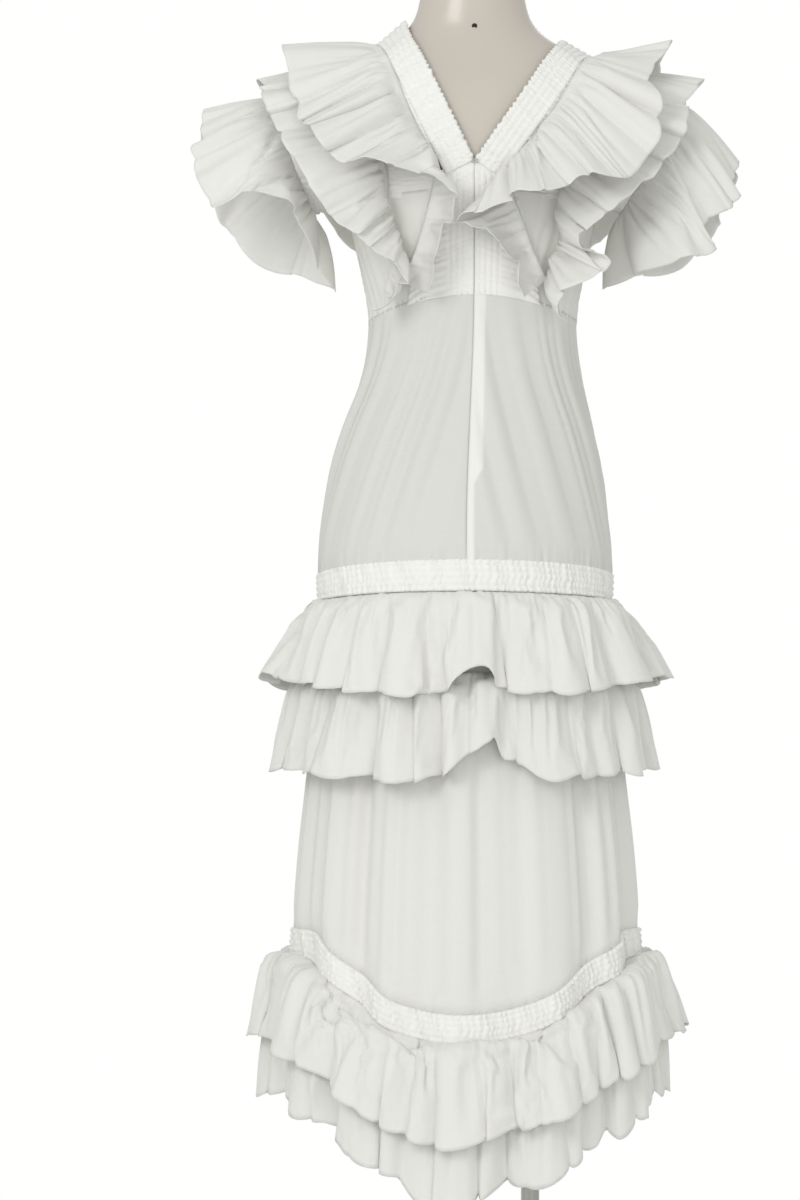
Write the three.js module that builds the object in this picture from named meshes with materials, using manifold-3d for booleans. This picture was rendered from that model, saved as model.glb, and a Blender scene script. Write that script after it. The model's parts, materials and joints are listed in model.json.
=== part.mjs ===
// A tiered white cotton maxi dress with shoulder ruffles, worn by a limbless dress form on a pole stand.
//
// Millimetres, +Z up. The dress's back faces -Y, and the wearer's right hand is towards +X.
// The origin is the middle of the whole object's box, on the floor.
// Each cloth piece is one closed thin wall raised on a grid of points. A place on the body is given by its
// height and by an angle round it: 0 is the centre back, 90 the wearer's right side and 180 the centre front.
import * as THREE from "three";
import { mergeVertices } from "three/addons/utils/BufferGeometryUtils.js";
import Module from "manifold-3d";

const wasm = await Module();
wasm.setup();

const { clamp, lerp, smoothstep, degToRad } = THREE.MathUtils;
const vec = (x, y, z) => new THREE.Vector3(x, y, z);

// ---- Driving dimensions ------------------------------------------------------------------------------

const CLOTH = 1.6; // wall of a cloth piece
const SEAM = 0.6; // gap between two pieces that are sewn edge to edge
const ON_BODY = 1.2; // middle of a bodice or skirt wall, outside the body shell
const ON_PANEL = ON_BODY + CLOTH + 0.9; // middle of a wall that lies on a panel
const UNDER_PANEL = -1.6; // middle of a strip that lies inside a panel
const GAP = 0.4; // gap between hard parts that stand on each other

const FLOOR_TO_FORM = 792; // underside of the dress form
const POLE = { x: 66, y: 0, radius: 10.5 };
const BASE = { radius: 165, rim: 6, crown: 13, collarRadius: 21, collarTop: 58 };
const FLANGE = { radius: 32, height: 9 };
const NECK_HOLE = { x: 1, z: 1463, radius: 3, depth: 6 };
const NECK_CAP = { height: 7, overhang: 2.5, edge: 1.5, crownShare: 0.7, crownInset: 6 };

// Rows of height, half width, depth behind the side line and depth before it.
const FORM_SECTIONS = [
  [792, 122, 86, 74],
  [803, 145, 105, 89],
  [835, 156, 113, 97],
  [880, 159, 116, 100],
  [940, 150, 107, 97],
  [1000, 137, 95, 91],
  [1060, 118, 79, 84],
  [1100, 111, 76, 82],
  [1140, 112, 79, 87],
  [1190, 121, 87, 98],
  [1240, 131, 93, 112],
  [1275, 135, 95, 116],
  [1320, 140, 95, 103],
  [1360, 150, 92, 86],
  [1388, 157, 85, 73],
  [1408, 156, 76, 63],
  [1424, 141, 68, 57],
  [1438, 118, 62, 54],
  [1450, 97, 58, 53],
  [1462, 80, 55, 53],
  [1477, 68, 54, 54],
  [1500, 61, 53, 56],
  [1540, 56, 51, 58],
  [1572, 54, 50, 59],
];
const DRESS_SECTIONS = [
  [120, 206, 178, 172],
  [300, 199, 168, 161],
  [440, 192, 158, 150],
  [520, 186, 149, 139],
  [620, 176, 135, 125],
  [740, 169, 126, 113],
  [800, 166, 122, 108],
  [870, 167, 123, 108],
  [940, 157, 114, 104],
  [1000, 144, 102, 98],
  [1060, 126, 87, 91],
  [1100, 119, 83, 89],
  [1140, 119, 85, 94],
  [1190, 128, 93, 105],
  [1240, 139, 100, 119],
  [1275, 142, 102, 123],
  [1320, 147, 102, 110],
  [1360, 157, 99, 93],
  [1388, 164, 92, 80],
  [1408, 163, 83, 70],
  [1424, 148, 75, 64],
  [1438, 125, 69, 61],
  [1450, 104, 65, 60],
  [1462, 87, 62, 60],
  [1477, 75, 61, 61],
];
const HIP_SHIFT = 9; // the hips stand this far towards the wearer's left

// ---- Shells: the form, and the shape that the dress follows -------------------------------------------

const sway = (z) => -HIP_SHIFT * smoothstep(1160 - z, 0, 280);

/** Half width and the two depths at a height, by a smooth curve through the rows. */
function sectionAt(rows, z) {
  const last = rows.length - 1;
  let k = 0;
  while (k < last - 1 && z > rows[k + 1][0]) k += 1;
  const [a, b] = [rows[k], rows[k + 1]];
  const [before, after] = [rows[Math.max(k - 1, 0)], rows[Math.min(k + 2, last)]];
  const span = b[0] - a[0];
  const t = clamp((z - a[0]) / span, 0, 1);
  return [1, 2, 3].map((i) => {
    const leaving = (span * (b[i] - before[i])) / (b[0] - before[0]);
    const arriving = (span * (after[i] - a[i])) / (after[0] - a[0]);
    const [t2, t3] = [t * t, t * t * t];
    const nearA = (2 * t3 - 3 * t2 + 1) * a[i] + (t3 - 2 * t2 + t) * leaving;
    const nearB = (3 * t2 - 2 * t3) * b[i] + (t3 - t2) * arriving;
    return nearA + nearB;
  });
}

/** A point of a shell at an angle in degrees and a height, moved out by `off`. */
function shellPoint(rows, degrees, z, off = 0) {
  const [width, back, front] = sectionAt(rows, z);
  const angle = degToRad(degrees);
  const depth = Math.cos(angle) > 0 ? back : front;
  return vec(sway(z) + (width + off) * Math.sin(angle), -(depth + off) * Math.cos(angle), z);
}

const onDress = (degrees, z, off = 0) => shellPoint(DRESS_SECTIONS, degrees, z, off);

/** The angle, within 90 degrees of the centre back, of the dress's point at x and a height. */
function angleAt(x, z) {
  const [width] = sectionAt(DRESS_SECTIONS, z);
  return THREE.MathUtils.radToDeg(Math.asin(clamp((x - sway(z)) / width, -1, 1)));
}

/** The height where the shoulder of the dress is x from the middle. */
function shoulderHeight(x) {
  let [low, high] = [1400, 1475];
  for (let i = 0; i < 30; i += 1) {
    const mid = (low + high) / 2;
    if (sectionAt(DRESS_SECTIONS, mid)[0] > Math.abs(x)) low = mid;
    else high = mid;
  }
  return low;
}

/** The dress's point at x and z, on the back half or the front half. Near the shoulder, out is also up. */
function bodyPoint(x, z, half, off) {
  const angle = angleAt(x, z);
  const lift = off * smoothstep(z, 1370, 1425);
  return onDress(half === "back" ? angle : 180 - angle, z, off).add(vec(0, 0, lift));
}

/** A line over one shoulder: up the back through [x, z] pairs, over the shoulder at x, and down the front. */
function overShoulder(backPairs, shoulderX, off, frontPairs = backPairs) {
  const up = backPairs.map(([x, z]) => bodyPoint(x, z, "back", off));
  const down = frontPairs.map(([x, z]) => bodyPoint(x, z, "front", off)).reverse();
  const top = vec(shoulderX + Math.sign(shoulderX) * off * 0.7, 0, shoulderHeight(shoulderX) + off);
  return [...up, top, ...down];
}

// ---- Curves and walls ---------------------------------------------------------------------------------

/** A smooth curve through points, as a function of 0 to 1. */
function through(points, closed = false) {
  const curve = new THREE.CatmullRomCurve3(points, closed, "catmullrom", 0.5);
  return (s) => curve.getPoint(closed ? ((s % 1) + 1) % 1 : clamp(s, 0, 1));
}

/** A closed wall of one thickness on the surface point(u, v), with u and v from 0 to 1. */
function wall(point, across, along, thickness = CLOTH, closed = false) {
  const columns = closed ? across : across + 1;
  const rows = along + 1;
  const step = 1e-3;
  const middle = [];
  const normals = [];
  for (let j = 0; j < rows; j += 1) {
    for (let i = 0; i < columns; i += 1) {
      const [u, v] = [i / across, j / along];
      const [u0, u1] = closed ? [u - step, u + step] : [Math.max(u - step, 0), Math.min(u + step, 1)];
      const [v0, v1] = [Math.max(v - step, 0), Math.min(v + step, 1)];
      const alongU = point(u1, v).sub(point(u0, v));
      const alongV = point(u, v1).sub(point(u, v0));
      middle.push(point(u, v));
      normals.push(alongU.cross(alongV).normalize());
    }
  }
  const positions = [];
  for (const side of [0.5, -0.5]) {
    middle.forEach((p, k) => positions.push(...p.clone().addScaledVector(normals[k], side * thickness)));
  }
  const count = middle.length;
  const index = [];
  const quad = (a, b, c, d) => index.push(a, b, c, a, c, d);
  const at = (i, j) => j * columns + (i % columns);
  for (let j = 0; j < along; j += 1) {
    for (let i = 0; i < across; i += 1) {
      // Both sides are split along the same diagonal, so the wall keeps its thickness where it twists.
      const [a, b, c, d] = [at(i, j), at(i + 1, j), at(i + 1, j + 1), at(i, j + 1)];
      quad(a, b, c, d);
      quad(...[a, d, c, b].map((k) => k + count));
    }
  }
  for (let i = 0; i < across; i += 1) {
    quad(at(i + 1, 0), at(i, 0), at(i, 0) + count, at(i + 1, 0) + count);
    quad(at(i, along), at(i + 1, along), at(i + 1, along) + count, at(i, along) + count);
  }
  for (let j = 0; j < along && !closed; j += 1) {
    quad(at(0, j), at(0, j + 1), at(0, j + 1) + count, at(0, j) + count);
    quad(at(across, j + 1), at(across, j), at(across, j) + count, at(across, j + 1) + count);
  }
  const geometry = new THREE.BufferGeometry();
  geometry.setAttribute("position", new THREE.Float32BufferAttribute(positions, 3));
  geometry.setIndex(index);
  geometry.computeVertexNormals();
  return geometry;
}

/** The straight-ruled surface from one line to another. */
const between = (first, second) => (u, v) => first(u).lerp(second(u), v);

/**
 * A gathered ruffle from its sewn line to its free edge.
 * `bow` arches it, `reach` is how far its flutes stand out at the free edge, `wave` is their run along it,
 * and `side` is 1 or -1, whichever makes them stand out from the body.
 */
function ruffle(sewn, free, { bow = 0, reach = 10, wave, side = 1, swell = 1.25, closed = false }) {
  const step = 4e-3;
  return (s, t) => {
    const from = sewn(s);
    const fall = free(s).sub(from);
    const [s0, s1] = closed ? [s - step, s + step] : [Math.max(s - step, 0), Math.min(s + step, 1)];
    const run = between(sewn, free)(s1, 0.5).sub(between(sewn, free)(s0, 0.5));
    const out = fall.clone().cross(run).normalize();
    const stand = bow * Math.sin(Math.PI * t) + reach * wave(s) * t ** swell;
    return from.addScaledVector(fall, t).addScaledVector(out, side * stand);
  };
}

/** Flutes along a strip: `count` of them, with uneven widths and heights, dying away at open ends. */
function flutes(count, phase, openEnds = true) {
  return (s) => {
    const turn = 2 * Math.PI * s;
    const uneven = 0.55 * Math.sin(3 * turn + phase) + 0.35 * Math.sin(5 * turn + 2 * phase);
    const height = 0.8 + 0.2 * Math.sin(4 * turn + 3 * phase);
    const ends = openEnds ? smoothstep(s, 0, 0.06) * smoothstep(1 - s, 0, 0.06) : 1;
    return height * ends * Math.sin(count * turn + phase + uneven);
  };
}

// ---- The dress form and its stand ---------------------------------------------------------------------

/** A solid of stacked sections with a flat cap at each end. */
function loft(sections, sides) {
  const positions = [];
  const index = [];
  sections.forEach((ring) => ring.forEach((p) => positions.push(...p)));
  for (let j = 0; j + 1 < sections.length; j += 1) {
    for (let i = 0; i < sides; i += 1) {
      const [a, b] = [j * sides + i, j * sides + ((i + 1) % sides)];
      index.push(a, b, b + sides, a, b + sides, a + sides);
    }
  }
  const top = (sections.length - 1) * sides;
  for (let i = 1; i + 1 < sides; i += 1) {
    index.push(0, i + 1, i);
    index.push(top, top + i, top + i + 1);
  }
  const geometry = new THREE.BufferGeometry();
  geometry.setAttribute("position", new THREE.Float32BufferAttribute(positions, 3));
  geometry.setIndex(index);
  return geometry;
}

const FORM_SIDES = 28;
const ringOf = (rows, z, off = 0) =>
  Array.from({ length: FORM_SIDES }, (_, i) => shellPoint(rows, (360 * i) / FORM_SIDES, z, off));

/** A three.js geometry as a solid that can be cut. */
function solid(geometry) {
  const bare = geometry.clone();
  ["normal", "uv"].forEach((name) => bare.deleteAttribute(name));
  const merged = mergeVertices(bare, 1e-3);
  return new wasm.Manifold(
    new wasm.Mesh({
      numProp: 3,
      vertProperties: merged.attributes.position.array,
      triVerts: new Uint32Array(merged.index.array),
    }),
  );
}

function geometryOf(made) {
  const mesh = made.getMesh();
  const geometry = new THREE.BufferGeometry();
  geometry.setAttribute("position", new THREE.BufferAttribute(mesh.vertProperties, 3));
  geometry.setIndex(new THREE.BufferAttribute(mesh.triVerts, 1));
  geometry.computeVertexNormals();
  return geometry;
}

/** The torso and neck, with the small screw hole at the back of the neck. */
function formBody() {
  const torso = loft(FORM_SECTIONS.map(([z]) => ringOf(FORM_SECTIONS, z)), FORM_SIDES);
  const backOfNeck = shellPoint(FORM_SECTIONS, 0, NECK_HOLE.z).y;
  const drill = new THREE.CylinderGeometry(NECK_HOLE.radius, NECK_HOLE.radius, 2 * NECK_HOLE.depth, 16);
  drill.translate(NECK_HOLE.x, backOfNeck, NECK_HOLE.z);
  return geometryOf(solid(torso).subtract(solid(drill)));
}

function neckCap() {
  const { height, overhang, edge, crownShare, crownInset } = NECK_CAP;
  const z = FORM_SECTIONS.at(-1)[0] + GAP;
  const ring = (off, rise) => ringOf(FORM_SECTIONS, z, off).map((p) => p.setZ(z + rise));
  return loft(
    [ring(0, 0), ring(overhang, edge), ring(overhang, height * crownShare), ring(-crownInset, height)],
    FORM_SIDES,
  );
}

/** A round solid on the pole's axis, from [radius, height] pairs that run up its outside. */
function turned(profile, sides = 32) {
  const closedProfile = [[0, profile[0][1]], ...profile, [0, profile.at(-1)[1]]];
  const points = closedProfile.map(([r, z]) => new THREE.Vector2(r, z));
  return new THREE.LatheGeometry(points, sides).rotateX(Math.PI / 2).translate(POLE.x, POLE.y, 0);
}

// ---- Bodice -------------------------------------------------------------------------------------------

// Lines of the bodice as [x, z] pairs from the bottom up, for the wearer's left (-) and right (+) side.
const NECK_EDGE = {
  L: { pairs: [[-1, 1305], [-20, 1345], [-39, 1385], [-58, 1425], [-70, 1449]], shoulder: -78 },
  R: { pairs: [[1, 1305], [27, 1343], [54, 1382], [78, 1418], [94, 1440]], shoulder: 103 },
};
const NECK_BAND_EDGE = {
  L: { pairs: [[-29, 1291], [-48, 1331], [-67, 1371], [-86, 1411], [-96, 1433]], shoulder: -106 },
  R: { pairs: [[27, 1287], [53, 1325], [80, 1364], [104, 1400], [119, 1424]], shoulder: 134 },
};
const YOKE_INNER = {
  L: {
    pairs: [[-40, 1264], [-39, 1296], [-51, 1331], [-70, 1371], [-89, 1410], [-99, 1432]],
    shoulder: -109,
  },
  R: {
    pairs: [[40, 1264], [39, 1290], [56, 1325], [83, 1364], [107, 1400], [122, 1423]],
    shoulder: 137,
  },
};
const YOKE_OUTER = {
  L: {
    pairs: [[-90, 1264], [-92, 1298], [-99, 1338], [-110, 1375], [-124, 1407], [-131, 1422]],
    shoulder: -139,
  },
  R: {
    pairs: [[90, 1264], [94, 1298], [106, 1338], [122, 1372], [138, 1396], [147, 1407]],
    shoulder: 156,
  },
};
const V_POINT = 1303; // where the neckline meets the centre line
const PANEL_TOP = { x: 28, z: 1286 }; // outer top corner of a centre panel
const PANEL_FOOT = 75; // half width of the two centre panels at the waist
const PANEL_LEVEL = 1150; // height at which the panels' widths are laid off
const SIDE_TOP = 1260; // top of the side panels, under the arm
const SIDE_TOP_INNER = 40; // where that top starts, from the middle
const SIDE_DIP = 8; // how far that top falls towards the side seam
const SIDE_SEAM = 89.6; // the side seam's angle from the centre line of its half

const WAIST = { side: 1130, backRise: 28, frontRise: 18 };

/** Height of the waist seam, which rises to the centre back and a little less to the centre front. */
function waist(degrees) {
  const cosine = Math.cos(degToRad(degrees));
  return WAIST.side + (cosine > 0 ? WAIST.backRise : WAIST.frontRise) * cosine ** 2;
}

function shoulderLine(line, off) {
  return through(overShoulder(line.pairs, line.shoulder, off));
}

/** A band that runs up the back, over the shoulder and down the front. */
function shoulderBand(inner, outer, side) {
  const edges = [shoulderLine(inner, ON_BODY), shoulderLine(outer, ON_BODY)];
  const surface = side === "L" ? between(...edges) : between(...edges.reverse());
  return wall(surface, 20, 1);
}

/** A panel on the dress shell between a lower and an upper line, each a function to [degrees, height]. */
function panel(lower, upper, across, along, off = ON_BODY, thickness = CLOTH) {
  return wall((u, v) => {
    const [low, high] = [lower(u), upper(u)];
    return onDress(lerp(low[0], high[0], v), lerp(low[1], high[1], v), off);
  }, across, along, thickness);
}

/** Angle on the front or back half for a point at x and z. */
const angleOn = (half, x, z) => (half === "back" ? angleAt(x, z) : 180 - angleAt(x, z));

/** One centre panel of the bodice, from the centre line to the foot of the ruffles. */
function centrePanel(half, sign) {
  const gap = sign * SEAM;
  return panel(
    (u) => {
      const degrees = angleOn(half, lerp(gap, sign * PANEL_FOOT, u), PANEL_LEVEL);
      return [degrees, waist(degrees) + SEAM];
    },
    (u) => {
      const z = lerp(V_POINT, PANEL_TOP.z, u);
      return [angleOn(half, lerp(gap, sign * PANEL_TOP.x, u), z), z];
    },
    4,
    5,
  );
}

/** The panel beside it, out to the side seam under the arm. */
function sidePanel(half, sign) {
  const seam = half === "back" ? sign * SIDE_SEAM : 180 - sign * SIDE_SEAM;
  return panel(
    (u) => {
      const degrees = lerp(angleOn(half, sign * (PANEL_FOOT + SEAM), PANEL_LEVEL), seam, u);
      return [degrees, waist(degrees) + SEAM];
    },
    (u) => {
      const inner = angleOn(half, sign * SIDE_TOP_INNER, SIDE_TOP);
      return [lerp(inner, seam, u), SIDE_TOP - SIDE_DIP * u];
    },
    5,
    4,
  );
}

// ---- Sleeves ------------------------------------------------------------------------------------------

// The ring where a sleeve's shirred band ends: its centre, how far it reaches up and back, and its lean.
const CUFF = {
  L: { centre: [-208, 0, 1320], lean: [-0.333, 0.943], half: 70, depth: 54 },
  R: { centre: [206, 0, 1317], lean: [0.51, 0.86], half: 71, depth: 54 },
};
const CUFF_WIDTH = 22;
const SLEEVE_GAP = 2.4; // the sleeve meets its cuff at a slant, so it stops this far short

/** A point of a cuff's ring: turn 0 is its top, 0.25 its back, 0.5 its bottom. `along` moves it outwards. */
function cuffPoint(side, turn, along) {
  const { centre, lean, half, depth } = CUFF[side];
  const angle = 2 * Math.PI * turn;
  const outward = side === "L" ? vec(-lean[1], 0, lean[0]) : vec(lean[1], 0, -lean[0]);
  return vec(...centre)
    .add(vec(lean[0], 0, lean[1]).multiplyScalar(half * Math.cos(angle)))
    .add(vec(0, -depth * Math.sin(angle), 0))
    .addScaledVector(outward, along);
}

/** The armhole: along the yoke's outer edge and under the arm, from the shoulder round the back. */
function armhole(side) {
  const sign = side === "L" ? -1 : 1;
  const line = YOKE_OUTER[side];
  const off = ON_BODY - 1.4;
  const clear = sign * 3.8;
  const onHalf = (half) => line.pairs.slice(1).map(([x, z]) => bodyPoint(x + clear, z, half, off)).reverse();
  const low = (half) => [
    bodyPoint(sign * 97, SIDE_TOP + 3.2, half, off),
    bodyPoint(sign * 124, SIDE_TOP - 0.5, half, off),
  ];
  const top = vec(line.shoulder + clear, 0, shoulderHeight(line.shoulder) + off - 2.5);
  const under = onDress(sign * 90, SIDE_TOP - 3.5, ON_BODY + 0.4);
  const roundBack = [top, ...onHalf("back"), ...low("back"), under];
  return through([...roundBack, ...low("front").reverse(), ...onHalf("front").reverse()], true);
}

function sleeve(side) {
  const inner = armhole(side);
  const outer = (s) => cuffPoint(side, s, -CUFF_WIDTH - SLEEVE_GAP);
  const surface = side === "L" ? between(outer, inner) : between(inner, outer);
  return wall(surface, 24, 1, CLOTH, true);
}

function cuff(side) {
  const ends = [(s) => cuffPoint(side, s, -CUFF_WIDTH), (s) => cuffPoint(side, s, 0)];
  return wall(between(...ends), 24, 1, CLOTH, true);
}

// Free edge of each sleeve's flounce, at turns of the cuff that run from its top round the back.
const FLOUNCE_EDGE = {
  L: [
    [-308, 0, 1388],
    [-317, -44, 1362],
    [-318, -80, 1322],
    [-299, -98, 1262],
    [-240, -104, 1278],
    [-196, -62, 1240],
    [-152, -8, 1174],
    [-196, 48, 1186],
    [-256, 76, 1210],
    [-298, 84, 1262],
    [-314, 62, 1330],
    [-313, 34, 1372],
  ],
  R: [
    [310, 0, 1325],
    [309, -46, 1300],
    [299, -80, 1268],
    [266, -82, 1240],
    [278, -98, 1214],
    [224, -96, 1194],
    [152, -10, 1172],
    [190, 48, 1186],
    [248, 78, 1204],
    [284, 84, 1242],
    [304, 64, 1284],
    [311, 32, 1312],
  ],
};

function flounce(side) {
  const sewn = (s) => cuffPoint(side, s, 1.6);
  const free = through(FLOUNCE_EDGE[side].map((p) => vec(...p)), true);
  const surface = ruffle(sewn, free, {
    reach: 7,
    wave: flutes(8, 0.4, false),
    side: side === "L" ? 1 : -1,
    bow: 6,
    closed: true,
  });
  return wall(surface, 40, 2, CLOTH, true);
}

// ---- Shoulder ruffles ---------------------------------------------------------------------------------

// Stations from the back waist, over the shoulder, to the front waist. Each has its sewn point, as [x, z] on
// the body or [x] on top of the shoulder, and its free point.
const SHOULDER_RUFFLES = {
  upper_L: {
    back: [
      [[-73, 1168], [-66, -126, 1158]],
      [[-58, 1210], [-50, -150, 1206]],
      [[-47, 1250], [-38, -166, 1256]],
      [[-41, 1288], [-52, -172, 1306]],
      [[-50, 1320], [-100, -180, 1306]],
      [[-61, 1348], [-146, -176, 1312]],
      [[-73, 1378], [-176, -160, 1338]],
      [[-85, 1406], [-202, -130, 1378]],
      [[-96, 1432], [-214, -78, 1424]],
    ],
    top: [[-107], [-214, -12, 1466]],
    front: [
      [[-96, 1432], [-208, 62, 1440]],
      [[-83, 1402], [-190, 118, 1398]],
      [[-66, 1362], [-158, 158, 1350]],
      [[-50, 1318], [-112, 182, 1306]],
      [[-44, 1270], [-72, 188, 1252]],
      [[-52, 1220], [-62, 178, 1204]],
      [[-70, 1168], [-78, 158, 1156]],
    ],
  },
  upper_R: {
    back: [
      [[74, 1168], [68, -126, 1156]],
      [[60, 1205], [52, -148, 1194]],
      [[48, 1240], [20, -164, 1234]],
      [[38, 1276], [-18, -166, 1254]],
      [[42, 1304], [24, -186, 1276]],
      [[56, 1326], [72, -198, 1270]],
      [[68, 1344], [112, -194, 1296]],
      [[84, 1366], [156, -186, 1286]],
      [[98, 1388], [190, -166, 1320]],
      [[112, 1410], [214, -128, 1364]],
      [[124, 1428], [204, -74, 1422]],
    ],
    top: [[136], [226, -14, 1466]],
    front: [
      [[124, 1428], [216, 56, 1430]],
      [[104, 1398], [196, 112, 1384]],
      [[82, 1362], [162, 154, 1340]],
      [[56, 1318], [114, 182, 1300]],
      [[44, 1270], [74, 188, 1248]],
      [[52, 1220], [62, 178, 1202]],
      [[70, 1168], [80, 158, 1156]],
    ],
  },
  lower_L: {
    back: [
      [[-92, 1162], [-130, -108, 1150]],
      [[-88, 1192], [-84, -128, 1170]],
      [[-90, 1222], [-96, -136, 1202]],
      [[-93, 1252], [-130, -140, 1222]],
      [[-95, 1288], [-164, -138, 1252]],
      [[-102, 1328], [-200, -128, 1310]],
      [[-113, 1368], [-230, -100, 1366]],
      [[-126, 1402], [-242, -58, 1402]],
    ],
    top: [[-140], [-247, -4, 1424]],
    front: [
      [[-126, 1402], [-240, 56, 1402]],
      [[-112, 1362], [-220, 104, 1352]],
      [[-98, 1312], [-178, 136, 1286]],
      [[-93, 1262], [-130, 150, 1220]],
      [[-90, 1210], [-104, 146, 1176]],
      [[-92, 1164], [-112, 128, 1144]],
    ],
  },
  lower_R: {
    back: [
      [[92, 1160], [120, -106, 1134]],
      [[90, 1186], [94, -128, 1156]],
      [[91, 1208], [142, -134, 1182]],
      [[93, 1232], [156, -134, 1212]],
      [[95, 1258], [112, -146, 1230]],
      [[98, 1296], [154, -142, 1256]],
      [[110, 1338], [204, -132, 1302]],
      [[128, 1372], [236, -104, 1350]],
      [[144, 1396], [248, -62, 1394]],
    ],
    top: [[157], [262, -8, 1420]],
    front: [
      [[144, 1396], [250, 52, 1396]],
      [[124, 1360], [228, 104, 1346]],
      [[104, 1312], [182, 136, 1284]],
      [[96, 1262], [134, 150, 1220]],
      [[92, 1210], [106, 146, 1176]],
      [[93, 1164], [114, 128, 1144]],
    ],
  },
};

function shoulderRuffle(name) {
  const { back, top, front } = SHOULDER_RUFFLES[name];
  const side = name.endsWith("L") ? -1 : 1;
  const off = name.startsWith("upper") ? ON_PANEL + 1.5 : ON_PANEL + 2;
  const inset = name.startsWith("upper") ? 0 : -3 * side;
  const moved = (stations) => stations.map(([[x, z]]) => [x + inset, z]);
  const sewn = through(overShoulder(moved(back), top[0][0] + inset, off, moved(front).reverse()));
  const free = through([...back, top, ...front].map(([, p]) => vec(...p)));
  const surface = ruffle(sewn, free, {
    reach: name.startsWith("upper") ? 11 : 8,
    bow: 6,
    wave: flutes(8, name.startsWith("upper") ? 0.9 : 2.1),
    side,
  });
  return wall(surface, 38, 2);
}

// ---- Skirt --------------------------------------------------------------------------------------------

const cosOf = (degrees) => Math.cos(degToRad(degrees));
const sideness = (degrees) => Math.sin(degToRad(degrees)) ** 2;
/** A smooth bump of height 1 about an angle, `spread` degrees to each side. */
const bump = (degrees, centre, spread) => {
  const away = Math.abs(((degrees - centre + 540) % 360) - 180) / spread;
  return away < 1 ? Math.cos((Math.PI / 2) * away) ** 2 : 0;
};

const hipTop = (degrees) => 838 + 18 * cosOf(degrees);
const hipFoot = (degrees) => 806 + 13 * cosOf(degrees);
const SECOND_TIER = 728; // where the second hip ruffle is sewn
/** Top of the hem's shirred band: high at the sides, deepest left of the centre back. */
function hemTop(degrees) {
  return 434 - 84 * bump(degrees, -8, 62) - 34 * bump(degrees, 34, 44) - 52 * bump(degrees, 172, 74);
}
const HEM_BAND = 33;

const SKIRT_FOLD = { depth: 7, growth: 300, wave: flutes(13, 1.3, false) };

/** Soft upright folds of the lower skirt, growing from the hip band down. */
function skirtPoint(degrees, z, off) {
  const depth = SKIRT_FOLD.depth * smoothstep(hipFoot(degrees) - z, 0, SKIRT_FOLD.growth);
  return onDress(degrees, z, off + depth * SKIRT_FOLD.wave(degrees / 360));
}

const ringAngle = (s) => 360 * s;

function skirtPanel(from, to, across) {
  return panel(
    (u) => [lerp(to, from, u), hipTop(lerp(to, from, u)) + SEAM],
    (u) => [lerp(to, from, u), waist(lerp(to, from, u)) - SEAM],
    across,
    5,
  );
}

function hipBand() {
  const edge = (height) => (s) => onDress(ringAngle(s), height(ringAngle(s)), ON_BODY);
  return wall(between(edge(hipFoot), edge(hipTop)), 40, 1, CLOTH, true);
}

function lowerSkirt() {
  return wall((u, v) => {
    const degrees = ringAngle(u);
    return skirtPoint(degrees, lerp(hemTop(degrees) + SEAM, hipFoot(degrees) - SEAM, v), ON_BODY);
  }, 56, 3, CLOTH, true);
}

function hemBand() {
  return wall((u, v) => {
    const degrees = ringAngle(u);
    return skirtPoint(degrees, lerp(hemTop(degrees) - HEM_BAND, hemTop(degrees), v), ON_BODY);
  }, 52, 1, CLOTH, true);
}

// Each ring ruffle: the height of its sewn line, its drop and its flare, all by angle, and its flutes.
const RING_RUFFLES = {
  hip_ruffle_upper: {
    sewn: (d) => hipFoot(d) - 1,
    drop: (d) => 118 - 34 * sideness(d) - 40 * bump(d, 4, 15),
    flare: (d) => 44 + 17 * sideness(d),
    count: 13,
    phase: 0.6,
    reach: 13,
    off: ON_PANEL + 0.6,
  },
  hip_ruffle_lower: {
    sewn: () => SECOND_TIER,
    drop: (d) => 122 - 10 * sideness(d) - 44 * bump(d, 7, 17),
    flare: (d) => 30 + 9 * sideness(d),
    count: 13,
    phase: 0.6,
    reach: 11,
    off: ON_PANEL + 3,
  },
  hem_ruffle_upper: {
    sewn: (d) => hemTop(d) - HEM_BAND + 3,
    drop: (d) => 112 - 14 * sideness(d) + 8 * bump(d, -12, 30),
    flare: (d) => 34 + 10 * sideness(d),
    count: 13,
    phase: 2.2,
    reach: 12,
    off: ON_PANEL + 8.5,
  },
  hem_ruffle_lower: {
    sewn: (d) => hemTop(d) - HEM_BAND + 1,
    drop: (d) => 164 - 10 * sideness(d) + 18 * bump(d, -6, 16),
    flare: (d) => 22 + 6 * sideness(d),
    count: 13,
    phase: 2.2,
    reach: 10,
    off: ON_PANEL + 1,
  },
};

function ringRuffle(name) {
  const { sewn, drop, flare, count, phase, reach, off } = RING_RUFFLES[name];
  const sewnLine = (s) => skirtPoint(ringAngle(s), sewn(ringAngle(s)), off);
  const freeLine = (s) => {
    const d = ringAngle(s);
    return onDress(d, sewn(d) - drop(d), off + flare(d));
  };
  const surface = ruffle(sewnLine, freeLine, { reach, wave: flutes(count, phase, false), closed: true });
  return wall(surface, 72, 1, CLOTH, true);
}

// ---- Fastenings ---------------------------------------------------------------------------------------

const ZIP = { halfWidth: 8, top: 1292, foot: 948, thickness: 0.9, level: 1100 };
const HOOK = { width: 9, depth: 1.4, height: 4, x: 0.5, rise: 1 };

function zipTape() {
  const degrees = (u) => angleAt(lerp(-ZIP.halfWidth, ZIP.halfWidth, u), ZIP.level);
  const end = (height) => (u) => [degrees(u), height];
  return panel(end(ZIP.foot), end(ZIP.top), 2, 8, UNDER_PANEL, ZIP.thickness);
}

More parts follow.
